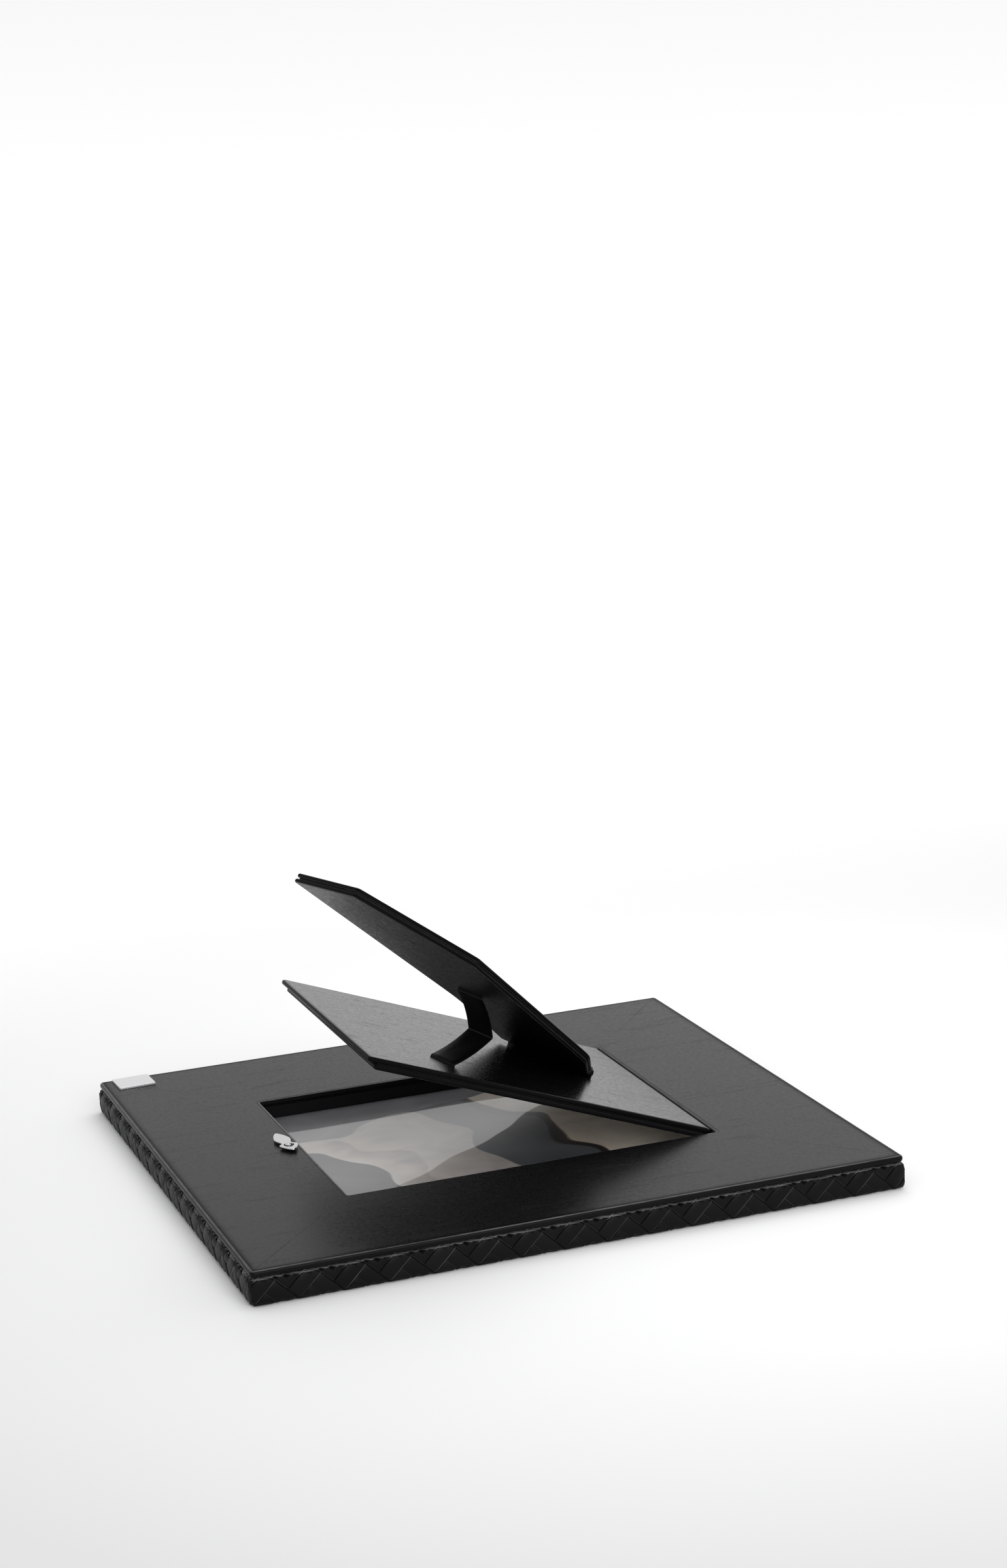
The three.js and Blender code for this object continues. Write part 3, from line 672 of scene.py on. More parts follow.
def rolled_board(
    outline: Outline,
    low: float,
    high: float,
    roll: float,
    hole: Outline | None = None,
    segments: int = 6,
    margin: float = 1.2,
    side_shade: float = 1.0,
) -> BMesh:
    """Make a flat board whose edges are rolled.

    Args:
        outline: Outer outline, counter-clockwise.
        low: Height of the underside.
        high: Height of the top.
        roll: Radius of the rolled edges.
        hole: Outline of a hole with as many points as the outer one.
        segments: Stretches in each rolled edge.
        margin: Width of the flat band next to each roll, which keeps the flats even.
        side_shade: How much painted shade the sides get, their shine turned down, from none to one.

    Returns:
        The board, with painted highlights on its rolled edges in one vertex attribute, and painted shade on its sides
        and in a band beside each roll in another.
    """
    bm = bmesh.new()
    verts, edges = ring(bm, outline, low)
    if hole:
        bmesh.ops.bridge_loops(bm, edges=edges + ring(bm, hole, low)[1])
    else:
        bm.faces.new(verts)
    raise_slab(bm, high - low)
    level = [edge for edge in sharp_edges(bm, 0.5) if abs(edge.verts[0].co.z - edge.verts[1].co.z) < 1e-6]
    roll_edges(bm, level, roll, segments)

    painted_highlight = bm.verts.layers.float.new("painted_highlight")
    dip = bm.verts.layers.float.new("dip")
    # Painted highlight where the roll turns about 24 degrees from flat, and painted shade on the steeper sides.
    highlight_tilt, highlight_spread, shade_tilt, shade_spread = 24.0, 18.0, 25.0, 25.0
    bm.normal_update()
    for vert in bm.verts:
        tilt = math.degrees(math.acos(min(1.0, abs(vert.normal.z))))
        vert[painted_highlight] = max(0.0, 1.0 - abs(tilt - highlight_tilt) / highlight_spread)
        vert[dip] = side_shade * min(1.0, max(0.0, (tilt - shade_tilt) / shade_spread))
    flats = [face for face in bm.faces if abs(face.normal.z) > 0.999]
    # The inner band beside each roll gets painted shade, standing in for the dark crease there.
    for share, creased in ((0.35, True), (0.65, False)):
        grown = bmesh.ops.inset_region(
            bm, faces=flats, thickness=margin * share, depth=0.0, use_even_offset=True, use_boundary=True)
        if creased:
            inside = {vert for face in flats for vert in face.verts}
            for vert in {vert for face in grown["faces"] for vert in face.verts} & inside:
                vert[dip] = 1.0
    for vert in {vert for face in flats for vert in face.verts}:
        vert[painted_highlight] = vert[dip] = 0.0
    return bm


def inset_sheet(outline: Outline, low: float, high: float, inset: float) -> BMesh:
    """Make a plain sheet set back from an outline on every side.

    Args:
        outline: The outline, counter-clockwise.
        low: Height of the underside.
        high: Height of the top.
        inset: How far the sheet is set back.

    Returns:
        The sheet.
    """
    bm = bmesh.new()
    face = bm.faces.new(ring(bm, outline, low)[0])
    face.normal_update()
    rim = bmesh.ops.inset_region(
        bm, faces=[face], thickness=inset, depth=0.0, use_even_offset=True, use_boundary=True)
    bmesh.ops.delete(bm, geom=rim["faces"], context="FACES")
    raise_slab(bm, high - low)
    return bm


def swept_band(line: Outline, thickness: float, half_width: float, rows: int = 6, edge: float = 0.25) -> BMesh:
    """Make a band that follows a line in the XZ plane and is wide along Y.

    Args:
        line: Points of the band's middle, with X and Z used.
        thickness: Thickness of the band.
        half_width: Half of its width.
        rows: Number of stretches across the width.
        edge: Size of the softened long edges.

    Returns:
        The band.
    """
    bm = bmesh.new()
    _, edges = chain(bm, [(point.x, -half_width, point.z) for point in line])
    for _ in range(rows):
        edges = drag_edges(bm, edges, (0.0, 2 * half_width / rows, 0.0))
    bmesh.ops.recalc_face_normals(bm, faces=bm.faces)
    half = [vert.normal.copy() * thickness / 2 for vert in bm.verts]
    for vert, shift in zip(bm.verts, half):
        vert.co -= shift
    bmesh.ops.solidify(bm, geom=bm.faces[:], thickness=-thickness)
    bmesh.ops.recalc_face_normals(bm, faces=bm.faces)
    if edge:
        roll_edges(bm, sharp_edges(bm, 1.1), edge, 2)
    return bm


def add_object(name: str, data: bpy.types.ID) -> bpy.types.Object:
    """Put a mesh, lamp or camera in the scene."""
    thing = bpy.data.objects.new(name, data)
    bpy.context.scene.collection.objects.link(thing)
    return thing


def finish_piece(
    name: str,
    bm: BMesh,
    finish: Finish,
    body: Body | None,
    nodes: Sequence[str],
    place: Matrix | None = None,
    smooth_angle: float = 40.0,
) -> bpy.types.Object:
    """Turn a mesh in millimetres into a dressed piece in metres.

    Args:
        name: Name of the piece.
        bm: Its mesh, which is used up.
        finish: Its finish.
        body: Body it rides on, or none if it bends between two.
        nodes: CAD nodes it stands for.
        place: Move from the mesh's own axes to the frame's.
        smooth_angle: Edges flatter than this many degrees are shaded smooth.

    Returns:
        The piece.
    """
    if place is not None:
        bmesh.ops.transform(bm, matrix=place, verts=bm.verts)
    bmesh.ops.scale(bm, vec=(MILLIMETRE,) * 3, verts=bm.verts)
    mesh = bpy.data.meshes.new(name)
    bm.to_mesh(mesh)
    bm.free()
    mesh.shade_smooth()
    mesh.set_sharp_from_angle(angle=math.radians(smooth_angle))
    mesh.materials.append(Finishes.material(finish))
    piece = add_object(name, mesh)
    if body:
        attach(piece, body.value)
    if nodes:
        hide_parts(*nodes)
    LOG.info("%s: %d faces, %s", name, len(mesh.polygons), finish.name)
    return piece


def dress_node(node: str, finish: Finish) -> None:
    """Give a CAD node that keeps its shape its material.

    Args:
        node: Name of the node.
        finish: Its finish.
    """
    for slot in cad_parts[node].material_slots:
        slot.link = "OBJECT"
        slot.material = Finishes.material(finish)
    LOG.info("%s: kept, %s", node, finish.name)


# Places and sizes that sub-assemblies share


def turned(degrees: float, axis: str = "Z") -> Matrix:
    """Give a turn about an axis through the origin."""
    return Matrix.Rotation(math.radians(degrees), 4, axis)


def moved(x: float, y: float, z: float) -> Matrix:
    """Give a move by a distance."""
    return Matrix.Translation((x, y, z))


@dataclass(frozen=True)
class FrameSizes:
    """Main sizes of the frame."""

    length: float = 431.0
    width: float = 395.0
    height: float = 22.0
    opening_left: float = -123.5
    opening_right: float = 127.5
    opening_half: float = 99.7
    lip: float = 5.0
    board_thickness: float = 4.4
    board_inset: float = 1.4
    cover_top: float = 17.2

    @property
    def borders(self) -> dict[str, float]:
        """Width of each border, from the outer face to the opening."""
        side = self.width / 2 - self.opening_half
        return {
            "near": side, "right": self.length / 2 - self.opening_right,
            "far": side, "left": self.length / 2 + self.opening_left}


@dataclass(frozen=True)
class PanelPose:
    """Where the closed panel lies, and how it is opened at rest."""

    axis_x: float = 126.0
    axis_z: float = 21.2
    open_angle: float = 20.3

    def matrix(self) -> Matrix:
        """Give the move from the closed panel to the panel at rest."""
        axis = moved(self.axis_x, 0.0, self.axis_z)
        return axis @ turned(self.open_angle, "Y") @ axis.inverted()


@dataclass(frozen=True)
class LegPose:
    """Where the leg's hinge lies on the closed panel, and how far it is open at rest."""

    hinge: Triple = (55.8, 7.4, 22.9)
    axis_height: float = 3.4
    heading: float = 32.2
    open_angle: float = 20.15

    def on_panel(self) -> Matrix:
        """Give the move from the leg's plan on the panel's top to the panel at rest."""
        return PanelPose().matrix() @ moved(*self.hinge) @ turned(180.0 + self.heading)

    def matrix(self) -> Matrix:
        """Give the move from the leg's own axes, with the hinge line as Y, to the leg at rest."""
        return self.on_panel() @ moved(0.0, 0.0, self.axis_height) @ turned(-self.open_angle, "Y")


# The sub-assemblies


@dataclass
class PlaitedSides:
    """The plaited leather round the four rails."""

    sizes: FrameSizes = FrameSizes()
    strip: float = 9.9
    gap: float = 0.3
    tuck: float = 10.0
    top_radius: float = 2.2
    bottom_radius: float = 3.4
    window_radius: float = 2.0
    return_height: float = 6.0
    turn_steps: int = 8
    corner_radius: float = 4.4
    underlay_depth: float = 1.0
    underlay_thickness: float = 0.6
    phase: float = 21.93
    reach_share: float = 1.1
    mitre_slope: float = 0.85
    tilt: float = 0.5
    tones: Pair = (0.82, 1.2)
    # Strength of the painted highlight on strip edges, and the share of it on strips leaning the other way, which
    # face away from the light.
    highlight_range: Pair = (0.5, 1.0)
    unlit_lean_share: float = 0.25
    rim_width: float = 0.6
    first_seed: int = 31

    def path(self, border: float) -> Profile:
        """Sample the cover's outer line in inset and height, with its outward normals.

        Args:
            border: Width of the border.

        Returns:
            Points about a millimetre apart or closer, each with its normal, from the tuck on
            the top, down the side and along the front to the window.
        """
        top, inner = self.sizes.cover_top, border + self.sizes.lip
        big, low, small = self.top_radius, self.bottom_radius, self.window_radius
        # Start and end of each straight stretch, the way its normal points in degrees, and the
        # radius of the quarter turn that follows.
        stretches = (
            ((self.tuck, top), (big, top), 90.0, big),
            ((0.0, top - big), (0.0, low), 180.0, low),
            ((low, 0.0), (inner - small, 0.0), 270.0, small),
            ((inner, small), (inner, self.return_height), 360.0, 0.0))
        line: Profile = []
        for start, end, heading, radius in stretches:
            angles = [math.radians(heading + 90.0 * i / self.turn_steps) for i in range(self.turn_steps)]
            normals = [Vector((math.cos(angle), math.sin(angle))) for angle in angles]
            a, b = Vector(start), Vector(end)
            count = max(2, round((b - a).length))
            line += [(a.lerp(b, i / count), normals[0]) for i in range(count)]
            if radius:
                line += [(b + (normal - normals[0]) * radius, normal) for normal in normals]
        return line

    def template(self) -> bpy.types.Mesh:
        """Make one strip's visible stretch: crowned, its sides and ends turned down.

        Returns:
            The stretch, centred, its length along X.
        """
        bm = bmesh.new()
        bmesh.ops.create_grid(bm, x_segments=8, y_segments=6, size=1.0)
        half, long = self.strip / 2 - self.gap / 2, self.strip
        # Distance from the middle and height of each row, the outermost first.
        across = ((half, -0.9), (half - 0.15, -0.2), (half - 0.6, -0.02), (0.0, 0.0))
        along = ((long + 0.9, -1.15), (long - 0.35, -0.62), (long - 1.9, -0.14), (long / 2, -0.02), (0.0, -0.05))
        for vert in bm.verts:
            column, row = round(vert.co.x * 4), round(vert.co.y * 3)
            (x, dip), (y, drop) = along[4 - abs(column)], across[3 - abs(row)]
            height = min(dip + drop, max(dip, drop) - 0.02)
            vert.co = Vector((math.copysign(x, column), math.copysign(y, row), height))
        mesh = bpy.data.meshes.new("strip_stretch")
        bm.to_mesh(mesh)
        bm.free()
        return mesh

    def stations(self, length: float, total: float) -> Iterator[tuple[float, float, int]]:
        """Tell where one side's stretches lie, two over and two under.

        Args:
            length: Length of the side.
            total: Length of the cover's line.

        Yields:
            Place along the side, place down the line, and which way the stretch leans.
        """
        step, reach = self.strip / math.sqrt(2), self.strip * self.reach_share
        columns = math.ceil(length / 2 / step / 4) + 1
        rows = math.ceil(total / step / 2) + 1
        for column, lean, row in product(range(-columns, columns + 1), (0, 1), range(-1, rows)):
            along, down = (4 * column + 2 * lean) * step, self.phase + (2 * row - lean - 4) * step
            mitred = length / 2 - self.mitre_slope * max(0.0, down - self.tuck - reach)
            if -reach <= down <= total + reach and abs(along) <= mitred + reach:
                yield along, down, lean

    def strips(self, length: float, line: Profile, seed: int) -> BMesh:
        """Make one side's strips.

        Args:
            length: Length of the side.
            line: The cover's line.
            seed: Seed of its tones.

        Returns:
            The strips, outer face at Y = 0, centred along X.
        """
        lengths = [0.0]
        for (a, _), (b, _) in zip(line, line[1:]):
            lengths.append(lengths[-1] + (b - a).length)
        total = lengths[-1]
        rng = random.Random(seed)
        bm = bmesh.new()
        tone_layer = bm.verts.layers.float.new("strip_tone")
        highlight_layer = bm.verts.layers.float.new("painted_highlight")
        template = self.template()
        # Rows along one long edge of each stretch get a painted highlight, full on strips of one lean and weaker on
        # the other, as if lit from one side.
        rim = [vert.index for vert in template.vertices if vert.co.y > self.strip / 2 - self.rim_width]
        for along, down, lean in self.stations(length, total):
            count = len(bm.verts)
            bm.from_mesh(template)
            bm.verts.ensure_lookup_table()
            fresh = bm.verts[count:]
            turn = turned((-45.0 if lean else 45.0) + rng.uniform(-self.tilt, self.tilt))
            bmesh.ops.transform(bm, matrix=moved(along, down, 0.0) @ turn, verts=fresh)
            tone, wear_and_highlight = rng.uniform(*self.tones), rng.uniform(*self.highlight_range)
            for vert in fresh:
                vert[tone_layer] = tone
            for i in rim:
                fresh[i][highlight_layer] = wear_and_highlight if lean else self.unlit_lean_share * wear_and_highlight
        bpy.data.meshes.remove(template)
        cut_away(bm, (0.0, 0.0, 0.0), (0.0, -1.0, 0.0))
        cut_away(bm, (0.0, total, 0.0), (0.0, 1.0, 0.0))
        for vert in bm.verts:
            distance = min(max(vert.co.y, 0.0), total - 1e-4)
            high = bisect_right(lengths, distance)
            share = (distance - lengths[high - 1]) / (lengths[high] - lengths[high - 1])
            (point, normal), (next_point, next_normal) = line[high - 1], line[high]
            place = point.lerp(next_point, share) + normal.lerp(next_normal, share).normalized() * vert.co.z
            vert.co = Vector((vert.co.x, place.x, place.y))
        return bm

    def underlay(self, length: float, line: Profile) -> BMesh:
        """Make the dark sheet beneath one side's strips.

        Args:
            length: Length of the side.
            line: The cover's line.

        Returns:
            The sheet, without thickness.
        """
        bm = bmesh.new()
        points = [point - normal * self.underlay_depth for point, normal in line]
        _, edges = chain(bm, [(-length / 2, point.x, point.y) for point in points])
        drag_edges(bm, edges, (length, 0.0, 0.0))
        return bm

    def ease_corners(self, bm: BMesh) -> None:
        """Round the frame's four upright corners.

        Args:
            bm: Mesh of a side in its place.
        """
        inner_x = self.sizes.length / 2 - self.corner_radius
        inner_y = self.sizes.width / 2 - self.corner_radius
        for vert in bm.verts:
            dx, dy = abs(vert.co.x) - inner_x, abs(vert.co.y) - inner_y
            if dx > 0 and dy > 0:
                share = max(dx, dy) / math.hypot(dx, dy)
                vert.co.x = math.copysign(inner_x + dx * share, vert.co.x)
                vert.co.y = math.copysign(inner_y + dy * share, vert.co.y)

    def build(self) -> None:
        """Make the four sides, each mitred against its neighbours."""
        borders = self.sizes.borders
        around = list(borders)
        for turn, side in enumerate(around):
            length, across = self.sizes.length, self.sizes.width
            if turn % 2:
                length, across = across, length
            line = self.path(borders[side])
            strips, underlay = self.strips(length, line, self.first_seed + turn), self.underlay(length, line)
            for bm in (strips, underlay):
                for end, beside in ((-1.0, around[turn - 1]), (1.0, around[(turn + 1) % 4])):
                    cut_away(bm, (end * length / 2, 0.0, 0.0), (end * borders[side], borders[beside], 0.0))
                place = turned(90.0 * turn) @ moved(0.0, -across / 2, 0.0)
                bmesh.ops.transform(bm, matrix=place, verts=bm.verts)
                self.ease_corners(bm)
            bmesh.ops.recalc_face_normals(underlay, faces=underlay.faces)
            bmesh.ops.solidify(underlay, geom=underlay.faces[:], thickness=self.underlay_thickness)
            finish_piece(f"strips_{side}", strips, Finishes.STRIPS, Body.FRAME, [f"plait_{side}"])
            finish_piece(f"underlay_{side}", underlay, Finishes.UNDERLAY, Body.FRAME, [])
            dress_node(f"rail_{side}", Finishes.WOOD)


@dataclass
class BackBoard:
    """The back: a leather skin with rolled edges round a board."""

    sizes: FrameSizes = FrameSizes()
    roll: float = 1.9
    corner: float = 3.5
    opening_corner: float = 0.8
    side_shade: float = 0.6

    def build(self) -> None:
        """Make the skin, which hides the board inside it."""
        s = self.sizes
        half_x, half_y = s.length / 2 - s.board_inset, s.width / 2 - s.board_inset
        outer = round_corners(rectangle(-half_x, half_x, -half_y, half_y), self.corner)
        hole = round_corners(
            rectangle(s.opening_left, s.opening_right, -s.opening_half, s.opening_half), self.opening_corner)
        skin = rolled_board(
            outer, s.height - s.board_thickness, s.height, self.roll, hole=hole, side_shade=self.side_shade)
        finish_piece("back_skin", skin, Finishes.BACK, Body.FRAME, ["back_leather", "back_board"])


@dataclass
class PictureStack:
    """What lies in the recess: lining, pane and print."""

    def build(self) -> None:
        """Dress the recess."""
        dress_node("opening_lining", Finishes.LINING)
        dress_node("glass_pane", Finishes.PANE)
        dress_node("photo_print", Finishes.PRINT)


@dataclass
class CornerPlate:
    """The bare metal plate near the far left corner."""

    centre: Pair = (-192.3, 182.4)
    length: float = 25.8
    width: float = 21.4
    low: float = 22.05
    high: float = 23.6
    roll: float = 0.22
    corner: float = 0.8
    turn: float = 2.4

    def build(self) -> None:
        """Make the plate, and dress its pins."""
        corners = rectangle(-self.length / 2, self.length / 2, -self.width / 2, self.width / 2)
        plate = rolled_board(
            round_corners(corners, self.corner, steps=4), self.low, self.high, self.roll, segments=3, margin=0.3)
        place = moved(*self.centre, 0.0) @ turned(self.turn)
        finish_piece("bare_plate", plate, Finishes.SATIN_METAL, Body.FRAME, ["corner_plate"], place)
        for pin in ("plate_pin_1", "plate_pin_2"):
            dress_node(pin, Finishes.METAL)


@dataclass
class TurnButton:
    """The turn button beside the opening, on its screw and a dark ring of painted shade round it."""

    pivot: Pair = (-132.4, 0.0)
    heading: float = 94.0
    low: float = 23.3
    high: float = 24.5
    roll: float = 0.35
    edge: tuple[Pair, ...] = (
        (25.4, 0.0), (14.0, 5.3), (4.6, 3.4), (0.0, 6.2), (-9.4, 0.0), (0.0, -6.2), (4.6, -3.4), (14.0, -5.3))
    head_radius: float = 2.5
    head_flatness: float = 0.44
    head_lift: float = 0.3
    slot_half: float = 0.4
    slot_depth: float = 0.5
    slot_from: float = 0.35
    shade_radius: float = 3.4
    shade_lift: float = 0.06
    shade_thickness: float = 0.1

    def outline(self, steps: int = 8) -> Outline:
        """Draw a closed smooth curve through the edge points.

        Args:
            steps: Stretches between neighbouring points.

        Returns:
            The curve, counter-clockwise.
        """
        points = flat(self.edge)
        curve: Outline = []
        for i in range(len(points)):
            p0, p1, p2, p3 = (points[(i + k) % len(points)] for k in (-1, 0, 1, 2))
            for t in (step / steps for step in range(steps)):
                curve.append(0.5 * (
                    2 * p1 + (p2 - p0) * t + (2 * p0 - 5 * p1 + 4 * p2 - p3) * t**2
                    + (3 * p1 - p0 - 3 * p2 + p3) * t**3))
        return curve

    def build(self) -> None:
        """Make the button, its screw and the ring of painted shade round the screw."""
        place = moved(*self.pivot, 0.0) @ turned(self.heading)
        plate = rolled_board(self.outline(), self.low, self.high, self.roll, segments=3, margin=0.5)
        finish_piece("button_plate", plate, Finishes.METAL, Body.LATCH, ["latch_button"], place)

        head = bmesh.new()
        bmesh.ops.create_uvsphere(head, u_segments=32, v_segments=16, radius=self.head_radius)
        cut_away(head, (0.0, 0.0, 0.0), (0.0, 0.0, -1.0))
        bmesh.ops.scale(head, vec=(1.0, 1.0, self.head_flatness), verts=head.verts)
        for vert in head.verts:
            if abs(vert.co.y) < self.slot_half and vert.co.z > self.slot_from:
                vert.co.z -= self.slot_depth
        finish_piece(
            "screw_head", head, Finishes.METAL, Body.FRAME, ["latch_screw"],
            place @ moved(0.0, 0.0, self.high + self.head_lift), smooth_angle=30.0)
        dress_node("latch_washer", Finishes.LINING)

        # A thin dark ring of lining leather round the screw's head: painted shade of the countersink.
        shade = bmesh.new()
        for radius in (self.head_radius, self.shade_radius):
            bmesh.ops.create_circle(shade, segments=40, radius=radius)
        bmesh.ops.bridge_loops(shade, edges=shade.edges[:])
        bmesh.ops.solidify(shade, geom=shade.faces[:], thickness=self.shade_thickness)
        finish_piece(
            "countersink_shade", shade, Finishes.LINING, Body.LATCH, [],
            place @ moved(0.0, 0.0, self.high + self.shade_lift))


@dataclass
class BackPanel:
    """The hinged back panel: two leather boards with a groove between them."""

    left: float = -119.4
    right: float = 124.4
    half_width: float = 96.8
    top: float = 22.9
    board: float = 3.25
    core: float = 0.5
    seat: float = 0.3
    setback: float = 5.2
    groove_depth: float = 2.6
    groove_overlap: float = 0.2
    roll: float = 1.35
    corner: float = 3.0
    # Line of the hinge leather's middle in X and Z: down the wall, over the hinge, down the closed panel.
    wall_line: tuple[Pair, ...] = ((126.8, 14.4), (126.8, 16.5), (126.8, 18.5), (126.8, 20.4))
    fold_line: tuple[Pair, ...] = ((126.62, 21.1), (126.1, 21.42), (125.6, 21.2))
    face_line: tuple[Pair, ...] = ((125.1, 20.0), (125.1, 18.4), (125.1, 16.9), (125.1, 15.9))
    leather: float = 0.7
    leather_half: float = 93.7
    blend_x: Pair = (126.7, 125.3)

    def outline(self, left: float) -> Outline:
        """Give a board's outline from its left edge."""
        return round_corners(rectangle(left, self.right, -self.half_width, self.half_width), self.corner)

    def build(self) -> None:
        """Make the boards and the hinge leather."""
        place = PanelPose().matrix()
        under = self.top - self.board - self.core - 2 * self.seat
        for name, left, high in (("outer", self.left, self.top), ("inner", self.left + self.setback, under)):
            board = rolled_board(self.outline(left), high - self.board, high, self.roll)
            finish_piece(f"panel_{name}", board, Finishes.PANEL, Body.PANEL, [f"panel_{name}_board"], place)
        core = inset_sheet(
            self.outline(self.left + self.setback), under - self.groove_overlap,
            self.top - self.board + self.groove_overlap, self.groove_depth)
        finish_piece("panel_groove", core, Finishes.LINING, Body.PANEL, ["panel_core"], place)
        self.hinge_leather(place)

    def hinge_leather(self, place: Matrix) -> None:
        """Make the folded strip that joins the panel to the opening's wall.

        Args:
            place: Move from the closed panel to the panel at rest.
        """
        line = upright(self.wall_line + self.fold_line) + [place @ point for point in upright(self.face_line)]
        strip = swept_band(line, self.leather, self.leather_half, rows=2, edge=0.0)
        piece = finish_piece(
            "panel_hinge_leather", strip, Finishes.TRIM, None, ["hinge_leather_frame", "hinge_leather_panel"],
            smooth_angle=60.0)
        start, end = (point * MILLIMETRE for point in upright((x, PanelPose().axis_z) for x in self.blend_x))
        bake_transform(piece)


@dataclass
class EaselLeg:
    """The easel leg: two leather boards, a groove between them and a rolled spine."""

    board: float = 2.6
    half_thickness: float = 3.1
    corners: tuple[Pair, ...] = (
        (3.4, -47.0), (90.0, -35.6), (265.8, -65.0), (294.7, 3.7), (227.4, 58.7), (50.0, 50.8), (3.4, 28.0))
    reaches: tuple[float, ...] = (4.0, 14.0, 2.5, 2.5, 2.5, 9.0, 4.0)
    roll: float = 1.15
    margin: float = 0.8
    groove_depth: float = 2.0
    groove_overlap: float = 0.2
    spine: Pair = (-39.0, 28.0)
    spine_end: float = 1.8
    wrap: float = 0.7
    wrap_over: float = 98.0
    wrap_gap: float = 0.15
    wrap_lean: float = 0.1
    wrap_depth: float = 0.3
    wrap_insets: Pair = (1.0, 2.0)
    wrap_rim: float = 0.35

    def build(self) -> None:
        """Make the boards, the groove between them, and the hinge."""
        place, half = LegPose().matrix(), self.half_thickness
        outline = round_corners(flat(self.corners), self.reaches)
        for name, low in (("inner", -half), ("outer", half - self.board)):
            board = rolled_board(outline, low, low + self.board, self.roll, margin=self.margin)
            finish_piece(f"leg_{name}", board, Finishes.LEG, Body.LEG, [f"leg_{name}_board"], place)
        half_gap = half - self.board + self.groove_overlap
        core = inset_sheet(outline, -half_gap, half_gap, self.groove_depth)
        finish_piece("leg_groove", core, Finishes.LINING, Body.LEG, ["leg_core"], place)
        dress_node("leg_hinge_tab", Finishes.TRIM)
        self.hinge_spine(place)
        self.hinge_wrap()

    def hinge_spine(self, place: Matrix) -> None:
        """Make the rolled leather spine along the hinge.

        Args:
            place: Move from the leg's own axes to the leg at rest.
        """
        far, near = self.spine
        spine = bmesh.new()
        bmesh.ops.create_cone(
            spine, cap_ends=True, segments=32, radius1=self.half_thickness, radius2=self.half_thickness,
            depth=near - far)
        roll_edges(spine, sharp_edges(spine, 1.0), self.spine_end, 5)
        lay_down = moved(0.0, (far + near) / 2, 0.0) @ turned(90.0, "X")
        finish_piece("leg_spine", spine, Finishes.LEG, Body.LEG, ["leg_hinge_roll"], place @ lay_down)

    def hinge_wrap(self) -> None:
        """Make the leather that runs from the tab in the panel up and over the spine."""
        axis = LegPose().axis_height
        radius = self.half_thickness + self.wrap_gap + self.wrap / 2
        far, near = self.corners[0][1] + self.wrap_insets[0], self.spine[1] - self.wrap_insets[1]
        half = (near - far) / 2
        foot = upright([(-radius - self.wrap_lean, -self.wrap_depth), (-radius, axis / 2)])
        line = foot + arc((0.0, axis), radius, 180.0, self.wrap_over, 10)
        strip = swept_band(line, self.wrap, half, rows=8, edge=0.3)
        # Painted glints: the strip's two ends carry a painted highlight.
        wear_and_highlight = strip.verts.layers.float.new("painted_highlight")
        for vert in strip.verts:
            vert[wear_and_highlight] = 1.0 if abs(abs(vert.co.y) - half) < self.wrap_rim else 0.0
        place = LegPose().on_panel() @ moved(0.0, (near + far) / 2, 0.0)
        finish_piece("leg_hinge_wrap", strip, Finishes.TRIM, Body.PANEL, [], place)


@dataclass
class LegStrap:
    """The strap that stops the leg, folded towards the hinge."""

    width: float = 20.0
    thickness: float = 1.1
    root: float = 133.6
    head: float = 132.4
    crease: Pair = (100.4, 19.6)
    crease_reach: float = 1.6
    bow: float = 3.2
    root_tuck: float = 2.4
    root_lean: float = 0.3
    head_tuck: float = 1.7
    half_leg: float = 3.1
    blend_end: Pair = (128.8, 45.7)

    def head_point(self, drop: float) -> Vector:
        """Give the strap's end in distance along the panel and height over it.

        Args:
            drop: Distance under the leg.

        Returns:
            The point.
        """
        pose = LegPose()
        angle, reach = math.radians(pose.open_angle), self.half_leg + drop
        return Vector((
            self.head * math.cos(angle) + reach * math.sin(angle), 0.0,
            pose.axis_height + self.head * math.sin(angle) - reach * math.cos(angle)))

    def line(self) -> Outline:
        """Give the strap's middle line from the panel to the leg.

        Returns:
            The line, in distance along the panel and height over it.
        """
        root, crease = upright([(self.root, 0.0), self.crease])
        head = self.head_point(0.0)
        into = crease + (root - crease).normalized() * self.crease_reach
        out = crease + (head - crease).normalized() * self.crease_reach

        def bowed(start: Vector, end: Vector) -> Outline:
            """Draw one half of the strap."""
            span = end - start
            push = Vector((-span.z, 0.0, span.x)).normalized() * self.bow
            return bend(start, (start + end) / 2 + push, end, 14)

        return [
            root + Vector((0.0, 0.0, -self.root_tuck)), root,
            *bowed(root + Vector((-self.root_lean, 0.0, self.thickness)), into),
            *bend(into, crease, out, 6)[1:-1],
            *bowed(out, self.head_point(self.thickness)),
            head, self.head_point(-self.head_tuck)]

    def build(self) -> None:
        """Make the strap."""
        strap = swept_band(self.line(), self.thickness, self.width / 2, rows=4, edge=0.3)
        # Painted highlight along the crease of the fold.
        wear_and_highlight = strap.verts.layers.float.new("painted_highlight")
        for vert in strap.verts:
            away = math.hypot(vert.co.x - self.crease[0], vert.co.z - self.crease[1])
            vert[wear_and_highlight] = max(0.0, 1.0 - away / self.crease_reach)
        place = LegPose().on_panel()
        piece = finish_piece("leg_strap_band", strap, Finishes.TRIM, None, ["leg_strap"], place, smooth_angle=70.0)
        start, end = ((place @ point) * MILLIMETRE for point in upright([(self.root, 0.0), self.blend_end]))
        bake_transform(piece)


# The studio


